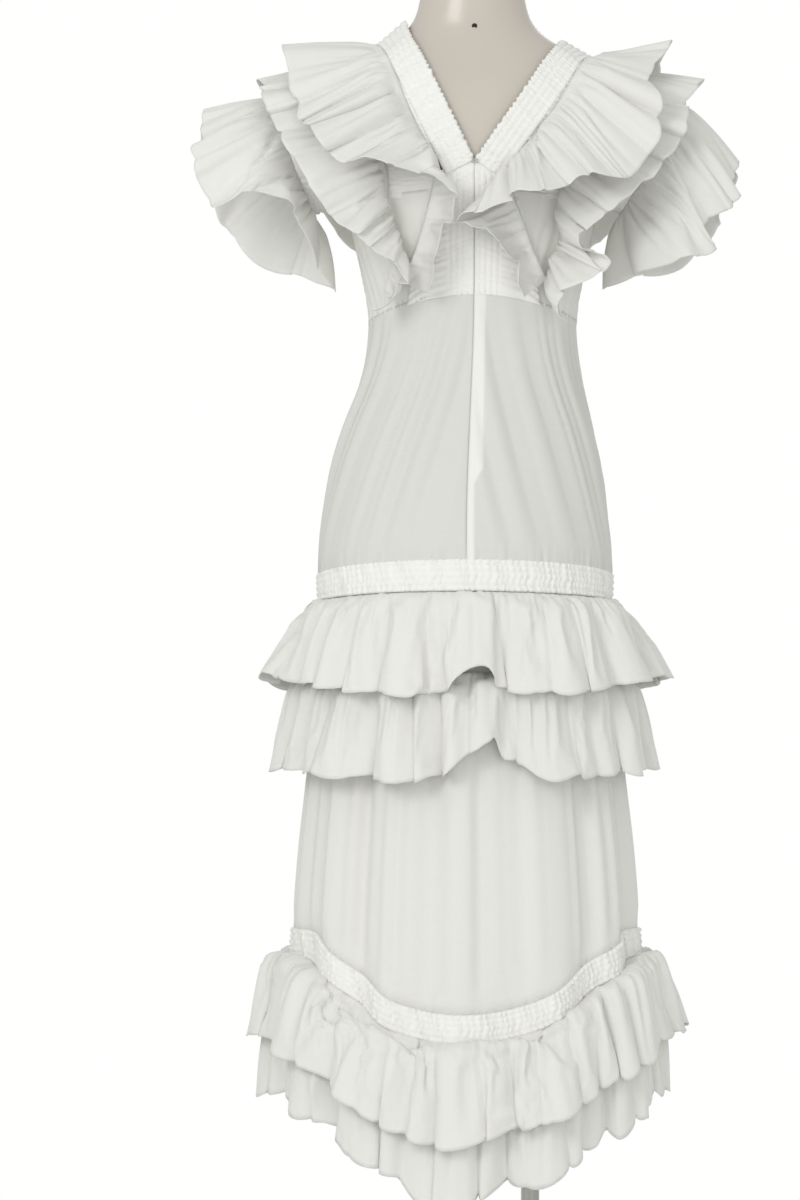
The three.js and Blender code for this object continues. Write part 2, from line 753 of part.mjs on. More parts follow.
/** The hook and eye at the point of the neckline, as one small bent plate. */
function neckHook() {
  const y = bodyPoint(0, V_POINT, "back", ON_PANEL + GAP).y;
  return new THREE.BoxGeometry(HOOK.width, HOOK.depth, HOOK.height).translate(HOOK.x, y, V_POINT + HOOK.rise);
}

// ---- Assembly -----------------------------------------------------------------------------------------

const MATERIALS = {
  cotton: { color: 0xf0efe9, roughness: 0.9, metalness: 0 },
  shirring: { color: 0xefeee6, roughness: 0.95, metalness: 0 },
  voile: { color: 0xe2e2dc, roughness: 0.9, metalness: 0 },
  zip: { color: 0xf2f1ec, roughness: 0.6, metalness: 0 },
  hook: { color: 0xb9bbc0, roughness: 0.35, metalness: 0.9 },
  form: { color: 0xcfc4b2, roughness: 0.45, metalness: 0 },
  steel: { color: 0xb4b3ae, roughness: 0.25, metalness: 1 },
};

const dress = new THREE.Group();
function add(name, geometry, material) {
  const mesh = new THREE.Mesh(geometry, new THREE.MeshStandardMaterial(MATERIALS[material]));
  mesh.name = name;
  dress.add(mesh);
}

const flangeTop = FLOOR_TO_FORM - GAP;
const flangeFoot = flangeTop - FLANGE.height;
const collarFoot = BASE.crown + GAP;
const collarShoulder = BASE.collarTop - 8;
const plateProfile = [
  [BASE.radius - 2, 0],
  [BASE.radius, 2],
  [BASE.radius, BASE.rim],
  [BASE.radius - 12, BASE.rim + 3],
  [BASE.collarRadius + 8, BASE.crown],
];
const collarProfile = [
  [BASE.collarRadius, collarFoot],
  [BASE.collarRadius, collarShoulder],
  [BASE.collarRadius - 4, BASE.collarTop],
];

add("form_body", formBody(), "form");
add("neck_cap", neckCap(), "steel");
add("pole_flange", turned([[FLANGE.radius, flangeFoot], [FLANGE.radius, flangeTop]]), "steel");
add("pole", turned([[POLE.radius, BASE.collarTop + GAP], [POLE.radius, flangeFoot - GAP]], 20), "steel");
add("base_plate", turned(plateProfile, 48), "steel");
add("base_collar", turned(collarProfile, 24), "steel");

for (const [side, sign] of [["L", -1], ["R", 1]]) {
  add(`neck_band_${side}`, shoulderBand(NECK_EDGE[side], NECK_BAND_EDGE[side], side), "shirring");
  add(`yoke_band_${side}`, shoulderBand(YOKE_INNER[side], YOKE_OUTER[side], side), "shirring");
  add(`bodice_back_${side}`, centrePanel("back", sign), "shirring");
  add(`bodice_front_${side}`, centrePanel("front", sign), "shirring");
  add(`side_back_${side}`, sidePanel("back", sign), "voile");
  add(`side_front_${side}`, sidePanel("front", sign), "voile");
  add(`sleeve_${side}`, sleeve(side), "voile");
  add(`cuff_${side}`, cuff(side), "shirring");
  add(`flounce_${side}`, flounce(side), "cotton");
  add(`shoulder_ruffle_upper_${side}`, shoulderRuffle(`upper_${side}`), "cotton");
  add(`shoulder_ruffle_lower_${side}`, shoulderRuffle(`lower_${side}`), "cotton");
}
add("skirt_back_L", skirtPanel(-89.7, -0.4, 8), "voile");
add("skirt_back_R", skirtPanel(0.4, 89.7, 8), "voile");
add("skirt_front", skirtPanel(90.3, 269.7, 14), "voile");
add("hip_band", hipBand(), "shirring");
add("skirt_lower", lowerSkirt(), "voile");
add("hem_band", hemBand(), "shirring");
for (const name of Object.keys(RING_RUFFLES)) add(name, ringRuffle(name), "cotton");
add("zip_tape", zipTape(), "zip");
add("neck_hook", neckHook(), "hook");

const box = new THREE.Box3().setFromObject(dress, true);
dress.position.set(-(box.min.x + box.max.x) / 2, -(box.min.y + box.max.y) / 2, 0);
export default dress;
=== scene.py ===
"""The looks of a tiered white cotton maxi dress with shoulder ruffles, worn by a limbless dress form.

Every cloth piece is a thin sheet laid on the form that its solid holds in the frame. Gathered ruffles are cut
longer than the seam they hang from and settled by a short cloth simulation, and shirred bands carry their
puckers as real relief. Shapes are worked out in millimetres in the dress's own frame, where the back of the
dress faces -Y and the wearer's right is +X, and become metres in the shared frame when a mesh is made.

A place on the body is given by a height and by an angle round it: 0 is the centre back, 90 the wearer's right
side and 180 the centre front. A place on a piece is given by s, along it, and t, from its seam to its free edge.
"""

from __future__ import annotations

import json
import logging
import math
from dataclasses import dataclass
from enum import Enum
from typing import Callable, Sequence

import bmesh
import bpy
import numpy as np
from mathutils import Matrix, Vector

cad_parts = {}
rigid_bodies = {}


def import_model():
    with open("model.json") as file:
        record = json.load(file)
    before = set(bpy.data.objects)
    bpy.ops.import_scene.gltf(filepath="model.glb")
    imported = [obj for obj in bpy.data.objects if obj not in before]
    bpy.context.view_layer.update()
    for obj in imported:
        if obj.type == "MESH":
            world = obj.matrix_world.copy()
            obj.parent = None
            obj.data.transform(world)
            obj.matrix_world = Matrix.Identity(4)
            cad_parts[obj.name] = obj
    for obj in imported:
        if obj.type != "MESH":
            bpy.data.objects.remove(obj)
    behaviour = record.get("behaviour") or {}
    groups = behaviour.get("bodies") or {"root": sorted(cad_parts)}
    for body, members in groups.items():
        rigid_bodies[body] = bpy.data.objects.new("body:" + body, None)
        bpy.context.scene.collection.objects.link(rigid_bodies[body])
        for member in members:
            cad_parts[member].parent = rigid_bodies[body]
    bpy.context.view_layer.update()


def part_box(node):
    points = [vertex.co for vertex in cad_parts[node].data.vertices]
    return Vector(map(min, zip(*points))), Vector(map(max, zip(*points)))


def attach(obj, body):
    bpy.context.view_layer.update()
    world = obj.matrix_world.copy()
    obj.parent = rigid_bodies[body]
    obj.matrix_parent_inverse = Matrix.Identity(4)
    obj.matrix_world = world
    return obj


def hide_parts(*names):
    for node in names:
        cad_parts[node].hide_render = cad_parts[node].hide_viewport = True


log = logging.getLogger("dress")

Points = np.ndarray
Line = Callable[[np.ndarray], Points]
Surface = Callable[[np.ndarray, np.ndarray], Points]

MM = 0.001
CLOTH = 0.55  # thickness of one layer of the cotton
ON_BODY = 1.2
ON_PANEL = 3.7
ROOT = "root"
SHIRRED_GATHER = 1.35  # flat cloth over finished length in a shirred band
CENTRE_GATHER = 1.3
SIDE_GATHER = 1.05
SKIRT_GATHER = 1.03
CAP_GATHER = 1.1


class Side(Enum):
    """The wearer's left and right."""

    LEFT = "L"
    RIGHT = "R"

    @property
    def sign(self) -> int:
        """-1 towards the wearer's left, 1 towards the right."""
        return -1 if self is Side.LEFT else 1


class Half(Enum):
    """The back and the front of the dress."""

    BACK = "back"
    FRONT = "front"


class Held(Enum):
    """How a cut piece of cloth is held, in the frame's words."""

    GATHERED = "gathered"
    STRETCHED = "stretched"
    HUNG = "hung"


# ---- Shape helpers ----------------------------------------------------------------------------------


def ease(x: np.ndarray, low: float, high: float) -> np.ndarray:
    """A smooth step from 0 at `low` to 1 at `high`."""
    t = np.clip((np.asarray(x, float) - low) / (high - low), 0.0, 1.0)
    return t * t * (3.0 - 2.0 * t)


def mix(a: np.ndarray | float, b: np.ndarray | float, t: np.ndarray) -> np.ndarray:
    """The value a share t of the way from a to b."""
    return a + (b - a) * t


def bump(degrees: np.ndarray, centre: float, spread: float) -> np.ndarray:
    """A smooth bump of height 1 about an angle, `spread` degrees to each side."""
    away = np.abs((degrees - centre + 540.0) % 360.0 - 180.0) / spread
    return np.where(away < 1.0, np.cos(0.5 * math.pi * np.minimum(away, 1.0)) ** 2, 0.0)


def unit(vectors: Points) -> Points:
    """Rows scaled to length 1."""
    return vectors / np.maximum(np.linalg.norm(vectors, axis=1, keepdims=True), 1e-9)


def through(points: Sequence[Sequence[float]], closed: bool = False) -> Line:
    """A smooth curve through points.

    Args:
        points: the points, in order.
        closed: whether the curve returns to its first point.

    Returns:
        A function from an array of 0 to 1 to points on the curve.
    """
    p = np.array(points, float)
    count = len(p)
    if not closed:
        p = np.vstack([2 * p[0] - p[1], p, 2 * p[-1] - p[-2]])

    def at(s: np.ndarray) -> Points:
        """Points of the curve.

        Args:
            s: places along the curve, 0 to 1.

        Returns:
            Points in millimetres.
        """
        place = (s % 1.0) * count if closed else np.clip(s, 0.0, 1.0) * (count - 1)
        k = np.floor(place).astype(int)
        if not closed:
            k = np.minimum(k, count - 2)
        t = (place - k)[:, None]
        a, b, c, d = (p[(k + i - 1) % count] if closed else p[k + i] for i in range(4))
        return 0.5 * (2 * b + (c - a) * t + (2 * a - 5 * b + 4 * c - d) * t**2 + (3 * b - a - 3 * c + d) * t**3)

    return at


def crimp(distance: np.ndarray, pitch: float, seed: float) -> np.ndarray:
    """Uneven gathers along a line.

    Args:
        distance: millimetres along the line.
        pitch: the mean distance from gather to gather.
        seed: a number that sets where they fall.

    Returns:
        Heights between about -1 and 1.
    """
    turn = 2.0 * math.pi * distance / pitch
    drift = 1.3 * np.sin(turn / 6.7 + seed) + 0.9 * np.sin(turn / 3.1 + 2.3 * seed)
    tall = 0.72 + 0.28 * np.sin(turn / 4.3 + 1.7 * seed)
    return tall * np.sin(turn + drift + seed)


def pleats(distance: np.ndarray, pitch: float, seed: float) -> np.ndarray:
    """Uneven round folds with sharp valleys between them.

    Args:
        distance: millimetres along the line.
        pitch: the mean distance from valley to valley.
        seed: a number that sets where they fall.

    Returns:
        Heights between about -1 and 1.
    """
    turn = math.pi * distance / pitch
    drift = 0.9 * np.sin(turn / 3.9 + seed) + 0.6 * np.sin(turn / 1.7 + 2.3 * seed)
    tall = 0.75 + 0.25 * np.sin(turn / 2.6 + 1.7 * seed)
    return tall * (2.0 * np.abs(np.sin(turn + drift + seed)) ** 0.65 - 1.0)


def looped(height: Callable[[np.ndarray], np.ndarray], along: np.ndarray, run: float, closed: bool) -> np.ndarray:
    """Heights along a strip, which on a ring fade into what runs before its start, so that its ends meet.

    Args:
        height: heights at millimetres along the strip.
        along: millimetres along the strip.
        run: the strip's length.
        closed: whether the strip is a ring.

    Returns:
        The heights.
    """
    if not closed:
        return height(along)
    return mix(height(along), height(along - run), ease(along, run - 30.0, run))


def flutes(count: int, phase: float, open_ends: bool = True) -> Callable[[np.ndarray], np.ndarray]:
    """Flutes along a strip, with uneven widths and heights, dying away at open ends.

    Args:
        count: how many flutes there are.
        phase: where the first one falls.
        open_ends: whether they die away at both ends.

    Returns:
        Heights between about -1 and 1, at places from 0 to 1.
    """

    def at(s: np.ndarray) -> np.ndarray:
        """Heights of the flutes.

        Args:
            s: places along the strip, 0 to 1.

        Returns:
            Heights between about -1 and 1.
        """
        turn = 2.0 * math.pi * s
        uneven = 0.55 * np.sin(3 * turn + phase) + 0.35 * np.sin(5 * turn + 2 * phase)
        height = 0.8 + 0.2 * np.sin(4 * turn + 3 * phase)
        ends = ease(s, 0, 0.06) * ease(1 - s, 0, 0.06) if open_ends else 1.0
        return height * ends * np.sin(count * turn + phase + uneven)

    return at


@dataclass(frozen=True)
class Shell:
    """A rounded shape of stacked sections.

    Each row is a height, a half width, a depth behind the side line and a depth before it.
    """

    rows: tuple[tuple[float, float, float, float], ...]
    hip_shift: float = 9.0

    def sway(self, z: np.ndarray) -> np.ndarray:
        """How far the middle stands towards the wearer's right at a height."""
        return -self.hip_shift * ease(1160.0 - z, 0.0, 280.0)

    def section(self, z: np.ndarray) -> tuple[np.ndarray, np.ndarray, np.ndarray]:
        """Half width, depth behind and depth before at each height, by a smooth curve through the rows.

        Args:
            z: heights.

        Returns:
            The half widths, the depths behind and the depths before.
        """
        table = np.array(self.rows)
        heights = table[:, 0]
        k = np.clip(np.searchsorted(heights, z, side="left") - 1, 0, len(heights) - 2)
        before, after = np.maximum(k - 1, 0), np.minimum(k + 2, len(heights) - 1)
        span = heights[k + 1] - heights[k]
        t = np.clip((z - heights[k]) / span, 0.0, 1.0)
        found = []
        for i in (1, 2, 3):
            value = table[:, i]
            leaving = span * (value[k + 1] - value[before]) / (heights[k + 1] - heights[before])
            arriving = span * (value[after] - value[k]) / (heights[after] - heights[k])
            found.append(
                (2 * t**3 - 3 * t**2 + 1) * value[k]
                + (t**3 - 2 * t**2 + t) * leaving
                + (3 * t**2 - 2 * t**3) * value[k + 1]
                + (t**3 - t**2) * arriving
            )
        return found[0], found[1], found[2]

    def point(self, degrees: np.ndarray, z: np.ndarray, off: np.ndarray | float = 0.0) -> Points:
        """Points of the shell at angles and heights, moved out by `off`.

        Args:
            degrees: angles round the body.
            z: heights.
            off: millimetres outside the shell.

        Returns:
            Points in millimetres.
        """
        degrees, z = np.broadcast_arrays(np.asarray(degrees, float), np.asarray(z, float))
        width, back, front = self.section(z)
        angle = np.radians(degrees)
        depth = np.where(np.cos(angle) > 0, back, front)
        x = self.sway(z) + (width + off) * np.sin(angle)
        return np.stack([x, -(depth + off) * np.cos(angle), z + 0.0 * x], axis=1)

    def angle(self, x: np.ndarray, z: np.ndarray, half: Half = Half.BACK) -> np.ndarray:
        """The angle of the shell's point at x and z, on one half.

        Args:
            x: millimetres towards the wearer's right.
            z: heights.
            half: the back or the front.

        Returns:
            The angles in degrees.
        """
        width, _, _ = self.section(np.asarray(z, float))
        back = np.degrees(np.arcsin(np.clip((x - self.sway(z)) / width, -1.0, 1.0)))
        return back if half is Half.BACK else 180.0 - back

    def at(self, x: np.ndarray, z: np.ndarray, half: Half, off: float) -> Points:
        """The point at x and z on one half. Near the shoulder, out is also up.

        Args:
            x: millimetres towards the wearer's right.
            z: heights.
            half: the back or the front.
            off: millimetres outside the shell.

        Returns:
            Points in millimetres.
        """
        x, z = np.atleast_1d(np.asarray(x, float)), np.atleast_1d(np.asarray(z, float))
        points = self.point(self.angle(x, z, half), z, off)
        points[:, 2] += off * ease(z, 1370.0, 1425.0)
        return points

    def shoulder_height(self, x: float) -> float:
        """The height where the shoulder is x from the middle.

        Args:
            x: millimetres towards the wearer's right.

        Returns:
            The height in millimetres.
        """
        heights = np.linspace(1400.0, 1475.0, 800)
        widths = self.section(heights)[0]
        return float(np.interp(-abs(x), -widths, heights))


FORM = Shell(
    (
        (792, 122, 86, 74), (803, 145, 105, 89), (835, 156, 113, 97), (880, 159, 116, 100),
        (940, 150, 107, 97), (1000, 137, 95, 91), (1060, 118, 79, 84), (1100, 111, 76, 82),
        (1140, 112, 79, 87), (1190, 121, 87, 98), (1240, 131, 93, 112), (1275, 135, 95, 116),
        (1320, 140, 95, 103), (1360, 150, 92, 86), (1388, 157, 85, 73), (1408, 156, 76, 63),
        (1424, 141, 68, 57), (1438, 118, 62, 54), (1450, 97, 58, 53), (1462, 80, 55, 53), (1477, 68, 54, 54),
        (1500, 61, 53, 56), (1540, 56, 51, 58), (1572, 54, 50, 59),
    )
)
BODY = Shell(
    (
        (120, 206, 178, 172), (300, 199, 168, 161), (440, 192, 158, 150), (520, 186, 149, 139),
        (620, 176, 135, 125), (740, 169, 126, 113), (800, 166, 122, 108), (870, 167, 123, 108),
        (940, 157, 114, 104), (1000, 144, 102, 98), (1060, 126, 87, 91), (1100, 119, 83, 89),
        (1140, 119, 85, 94), (1190, 128, 93, 105), (1240, 139, 100, 119), (1275, 142, 102, 123),
        (1320, 147, 102, 110), (1360, 157, 99, 93), (1388, 164, 92, 80), (1408, 163, 83, 70),
        (1424, 148, 75, 64), (1438, 125, 69, 61), (1450, 104, 65, 60), (1462, 87, 62, 60), (1477, 75, 61, 61),
    )
)


def over_shoulder(back: Sequence, shoulder_x: float, off: float, front: Sequence | None = None) -> Line:
    """A line up the back through (x, z) pairs, over the shoulder at an x, and down the front.

    Args:
        back: (x, z) pairs from the bottom up.
        shoulder_x: where it crosses the top of the shoulder.
        off: how far outside the shell it runs.
        front: (x, z) pairs from the bottom up, or None for the back's.

    Returns:
        The line, from the bottom of the back to the bottom of the front.
    """
    up = [BODY.at(x, z, Half.BACK, off)[0] for x, z in back]
    down = [BODY.at(x, z, Half.FRONT, off)[0] for x, z in (front or back)][::-1]
    top = (shoulder_x + math.copysign(off * 0.7, shoulder_x), 0.0, BODY.shoulder_height(shoulder_x) + off)
    return through([*up, top, *down])


# ---- Making meshes ----------------------------------------------------------------------------------


def lengths(base: Surface, closed: bool) -> tuple[float, float, float]:
    """Measures a surface.

    Args:
        base: the surface.
        closed: whether u = 1 meets u = 0.

    Returns:
        Its longest row along u, its longest column along v and its area, in millimetres.
    """
    across, down = 240, 24
    u, v = (grid.ravel() for grid in np.meshgrid(np.linspace(0, 1, across + 1), np.linspace(0, 1, down + 1)))
    net = base(np.minimum(u, 1.0 - 1e-9) if closed else u, v).reshape(down + 1, across + 1, 3)
    rows = np.diff(net, axis=1)
    columns = np.diff(net, axis=0)
    area = np.linalg.norm(np.cross(rows[:-1], columns[:, :-1]), axis=2).sum()
    return (
        float(np.linalg.norm(rows, axis=2).sum(axis=1).max()),
        float(np.linalg.norm(columns, axis=2).sum(axis=0).max()),
        float(area),
    )


def normals(base: Surface, u: np.ndarray, v: np.ndarray, closed: bool) -> tuple[Points, Points]:
    """Unit directions square to a surface, and along its rows, at arrays of u and v.

    Args:
        base: the surface.
        u: places along the piece, 0 to 1.
        v: places across it, 0 to 1.
        closed: whether u = 1 meets u = 0.

    Returns:
        Unit vectors square to the surface, and unit vectors along it.
    """
    step = 2e-3
    u0, u1 = (u - step, u + step) if closed else (np.maximum(u - step, 0), np.minimum(u + step, 1))
    along = base(u1, v) - base(u0, v)
    down = base(u, np.minimum(v + step, 1)) - base(u, np.maximum(v - step, 0))
    return unit(np.cross(along, down)), unit(along)


@dataclass(frozen=True)
class Cloth:
    """One cut piece of cloth: the surface that it lies on, its relief, and how it was cut and gathered."""

    name: str
    nodes: tuple[str, ...]
    slot: str
    finish: str
    base: Surface
    grid: tuple[int, int]
    relief: Callable[..., np.ndarray] | None = None
    gather: tuple[float, float] = (1.0, 1.0)  # flat cloth over finished length, along u and along v
    held: Held = Held.HUNG
    rests_on: tuple[str, ...] = ("form_body",)
    closed: bool = False
    middle: tuple[float, float, float] | None = None  # a point inside a ring, or None for the body's axis
    doubled: Callable[..., np.ndarray] | None = None  # where the cloth lies double, as 0 to 1
    thickness: float = CLOTH

    def out_sign(self) -> int:
        """1 if the surface's own normals point away from what it wraps, or -1.

        Returns:
            1 or -1.
        """
        u, v = np.linspace(0.05, 0.95, 19), np.full(19, 0.5)
        points, (square, _) = self.base(u, v), normals(self.base, u, v, self.closed)
        away = points - (np.array(self.middle) if self.middle else points * (0.0, 0.0, 1.0))
        return 1 if (square * away).sum() > 0 else -1

    def surface(self) -> Surface:
        """The finished surface, with its relief.

        Returns:
            The surface.
        """
        run, fall, _ = lengths(self.base, self.closed)
        sign = self.out_sign()

        def at(u: np.ndarray, v: np.ndarray) -> Points:
            """Points of the finished surface.

            Args:
                u: places along the piece, 0 to 1.
                v: places across it, 0 to 1.

            Returns:
                Points in millimetres.
            """
            points = self.base(u, v)
            if self.relief:
                square, _ = normals(self.base, u, v, self.closed)
                height = looped(lambda along: self.relief(along, v * fall, u, v), u * run, run, self.closed)
                points = points + square * (sign * height)[:, None]
            return points

        return at


@dataclass
class Workshop:
    """Turns surfaces into finished pieces of the dress."""

    shift: Vector
    finishes: dict[str, bpy.types.Material]

    def place(self, points: Points) -> Points:
        """Dress millimetres as metres in the shared frame."""
        return (points + np.array(self.shift)) * MM

    def sheet(self, name: str, surface: Surface, grid: tuple[int, int], size: tuple[float, float],
              closed: bool = False, flip: bool = False) -> bpy.types.Object:
        """Lays a one-layer sheet on a surface.

        Args:
            name: the piece's name.
            surface: points at arrays of u and v from 0 to 1.
            grid: columns along u and rows along v.
            size: the flat cloth's millimetres along u and v, for the weave and the hem.
            closed: whether u = 1 meets u = 0.
            flip: whether the faces are turned over.

        Returns:
            The new object, with u and v kept as attributes and a UV map whose second number is the
            distance from the free edge.
        """
        bm = bmesh.new()
        uv = bm.loops.layers.uv.new("cloth")
        bmesh.ops.create_grid(bm, x_segments=grid[0], y_segments=grid[1], size=0.5)
        kept = [bm.verts.layers.float.new(label) for label in ("u", "v")]
        for vert in bm.verts:
            vert[kept[0]], vert[kept[1]] = vert.co.x + 0.5, vert.co.y + 0.5
        for face in bm.faces:
            for loop in face.loops:
                co = loop.vert.co
                loop[uv].uv = ((co.x + 0.5) * size[0] * MM, (0.5 - co.y) * size[1] * MM)
        u, v = (np.array([vert[layer] for vert in bm.verts]) for layer in kept)
        ends = [vert for vert, at in zip(bm.verts, u) if closed and (at < 1e-5 or at > 1 - 1e-5)]
        u = np.where(u > 1 - 1e-5, 0.0, u) if closed else u
        for vert, co in zip(bm.verts, self.place(surface(u, v))):
            vert.co = co
        bmesh.ops.remove_doubles(bm, verts=ends, dist=1e-6)
        if flip:
            bmesh.ops.reverse_faces(bm, faces=bm.faces)
        return self.piece(name, bm)

    def piece(self, name: str, bm: bmesh.types.BMesh, crisp: float = 180.0) -> bpy.types.Object:
        """Makes a bmesh into a smooth-shaded object, with edges over `crisp` degrees kept sharp.

        Args:
            name: the piece's name.
            bm: its shape, which is freed.
            crisp: degrees above which an edge stays sharp.

        Returns:
            The new object.
        """
        for face in bm.faces:
            face.smooth = True
        for edge in bm.edges:
            edge.smooth = len(edge.link_faces) != 2 or edge.calc_face_angle(0.0) < math.radians(crisp)
        mesh = bpy.data.meshes.new(name)
        bm.to_mesh(mesh)
        bm.free()
        made = bpy.data.objects.new(name, mesh)
        bpy.context.scene.collection.objects.link(made)
        return made

    def finish(self, piece: bpy.types.Object, slot: str, finish: str, replaces: Sequence[str] = (),
               thickness: float = 0.0) -> None:
        """Gives a piece its thickness and its finish, hangs it on the root body and hides the solids that it stands
        for.

        Args:
            piece: the piece.
            slot: the record's material slot; not used.
            finish: the finish's name.
            replaces: the solids that it stands for.
            thickness: millimetres of cloth, or 0 for none.
        """
        if thickness:
            wall = piece.modifiers.new("thickness", "SOLIDIFY")
            wall.thickness = thickness * MM
            wall.offset = 0.0
            wall.use_even_offset = False
        piece.data.materials.append(self.finishes[finish])
        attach(piece, ROOT)
        if replaces:
            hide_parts(*replaces)

    def sew(self, cloth: Cloth) -> None:
        """Makes a cut piece of cloth and states its flat cut, worked out from its seam and its gathers.

        Args:
            cloth: what is cut.
        """
        run, fall, area = lengths(cloth.base, cloth.closed)
        flat = (run * cloth.gather[0], fall * cloth.gather[1])
        piece = self.sheet(cloth.name, cloth.surface(), cloth.grid, flat, cloth.closed, cloth.out_sign() < 0)
        if cloth.doubled:
            layer = piece.data.attributes.new("doubled", "FLOAT", "POINT")
            u, v = attribute(piece, "u"), attribute(piece, "v")
            layer.data.foreach_set("value", cloth.doubled(u * run, v * fall, u, v).astype(np.float32))
        self.finish(piece, cloth.slot, cloth.finish, cloth.nodes, cloth.thickness)
        used = area * cloth.gather[0] * cloth.gather[1]
        list(cloth.rests_on)
        made = sum(polygon.area for polygon in piece.data.polygons) / MM**2
        log.info("%s: flat %.0f by %.0f mm, holds %.2f of its cloth, %d faces", cloth.name, *flat,
                 made / used, len(piece.data.polygons))


def attribute(piece: bpy.types.Object, name: str) -> np.ndarray:
    """A float attribute of every point of a piece.

    Args:
        piece: the piece.
        name: the attribute's name.

    Returns:
        One number for each point.
    """
    values = np.zeros(len(piece.data.vertices), np.float32)
    piece.data.attributes[name].data.foreach_get("value", values)
    return values.astype(float)


def positions(mesh: bpy.types.Mesh) -> Points:
    """The points of a mesh.

    Args:
        mesh: the mesh.

    Returns:
        Points in metres.
    """
    flat = np.zeros(len(mesh.vertices) * 3, np.float32)
    mesh.vertices.foreach_get("co", flat)
    return flat.reshape(-1, 3).astype(float)


def cone(u: np.ndarray, along: np.ndarray, down: np.ndarray, turns: float) -> Points:
    """Winds a relaxed gathered strip on a cone, so that lengths along and down it are kept.

    Args:
        u: 0 to 1 along the strip.
        along: the strip's length at each point's level, in millimetres.
        down: how far each point is from the seam, in millimetres.
        turns: how many times the strip goes round.

    Returns:
        Points in metres.
    """
    angle = 2.0 * math.pi * turns * u
    radius = along / (2.0 * math.pi * turns)
    fall = np.sqrt(np.maximum(down**2 - (radius - radius.min()) ** 2, 0.0))
    return np.stack([radius * np.cos(angle), radius * np.sin(angle), -fall], axis=1) * MM


@dataclass
class Settling:
    """A short cloth simulation on a coarse copy, whose movement is then laid on the fine piece."""

    frames: int = 14
    quality: int = 4
    gravity: float = 0.3
    bending: float = 0.5
    tension: float = 20.0
    hold: float = 0.12
    furthest: float = 24.0  # millimetres that a point may move

    def block(self, shop: Workshop, name: str, surface: Surface, grid: tuple[int, int]) -> bpy.types.Object:
        """A coarse closed stand-in that cloth can't pass.

        Args:
            shop: where pieces are made.
            name: the piece's name.
            surface: the surface that it lies on.
            grid: columns along u and rows along v.

        Returns:
            The new object.
        """
        made = shop.sheet(name, surface, grid, (1.0, 1.0), closed=True)
        made.modifiers.new("collision", "COLLISION")
        made.collision.thickness_outer = 0.002
        made.collision.thickness_inner = 0.01
        made.collision.cloth_friction = 4.0
        made.collision.use_culling = False
        return made

    def run(self, shop: Workshop, name: str, surface: Surface, grid: tuple[int, int], closed: bool,
            relaxed: Callable[[np.ndarray, np.ndarray], Points]) -> Surface:
        """Settles a coarse copy.

        Args:
            shop: where the copy is made.
            name: the copy's name.
            surface: where it starts.
            grid: its columns and rows.
            closed: whether u = 1 meets u = 0.
            relaxed: where its points lie when the cloth is relaxed, in metres, which sets its real size.

        Returns:
            How far the cloth moved, in millimetres, at arrays of u and v.
        """
        piece = shop.sheet(name, surface, grid, (1.0, 1.0), closed)
        start, u, v = positions(piece.data), attribute(piece, "u"), attribute(piece, "v")
        group = piece.vertex_groups.new(name="sewn")
        held = np.round(np.where(v < 1e-4, 1.0, self.hold * (1.0 - 0.6 * v)), 2)
        for weight in np.unique(held):
            group.add(np.nonzero(held == weight)[0].tolist(), float(weight), "REPLACE")
        piece.shape_key_add(name="Basis")
        key = piece.shape_key_add(name="relaxed")
        key.data.foreach_set("co", relaxed(u, v).astype(np.float32).ravel())
        cloth = piece.modifiers.new("cloth", "CLOTH")
        settings = cloth.settings
        settings.quality = self.quality
        settings.mass = 0.15
        settings.air_damping = 2.0
        settings.tension_stiffness = settings.compression_stiffness = self.tension
        settings.shear_stiffness = 6.0
        settings.bending_stiffness = self.bending
        settings.tension_damping = settings.compression_damping = 8.0
        settings.shear_damping = 6.0
        settings.bending_damping = 0.5
        settings.vertex_group_mass = "sewn"
        settings.pin_stiffness = 1.0
        settings.rest_shape_key = key
        settings.effector_weights.gravity = self.gravity
        cloth.collision_settings.collision_quality = 2
        cloth.collision_settings.distance_min = 0.002
        cloth.collision_settings.use_self_collision = False
        cloth.point_cache.frame_start, cloth.point_cache.frame_end = 1, self.frames
        for frame in range(1, self.frames + 1):
            bpy.context.scene.frame_set(frame)
        end = positions(piece.evaluated_get(bpy.context.evaluated_depsgraph_get()).data)
        bpy.context.scene.frame_set(1)
        move = (end - start) / MM
        bpy.data.objects.remove(piece)
        far = np.linalg.norm(move, axis=1, keepdims=True) / self.furthest
        move /= np.sqrt(1.0 + far**2)
        columns, rows = grid
        net = np.zeros((columns + 1, rows + 1, 3))
        place = np.round(u * columns).astype(int) % (columns if closed else columns + 1)
        net[place, np.round(v * rows).astype(int)] = move
        log.info("%s settled by up to %.1f mm, %.1f mm on average", name, np.linalg.norm(move, axis=1).max(),
                 np.linalg.norm(move, axis=1).mean())
        return resampled(net, closed)


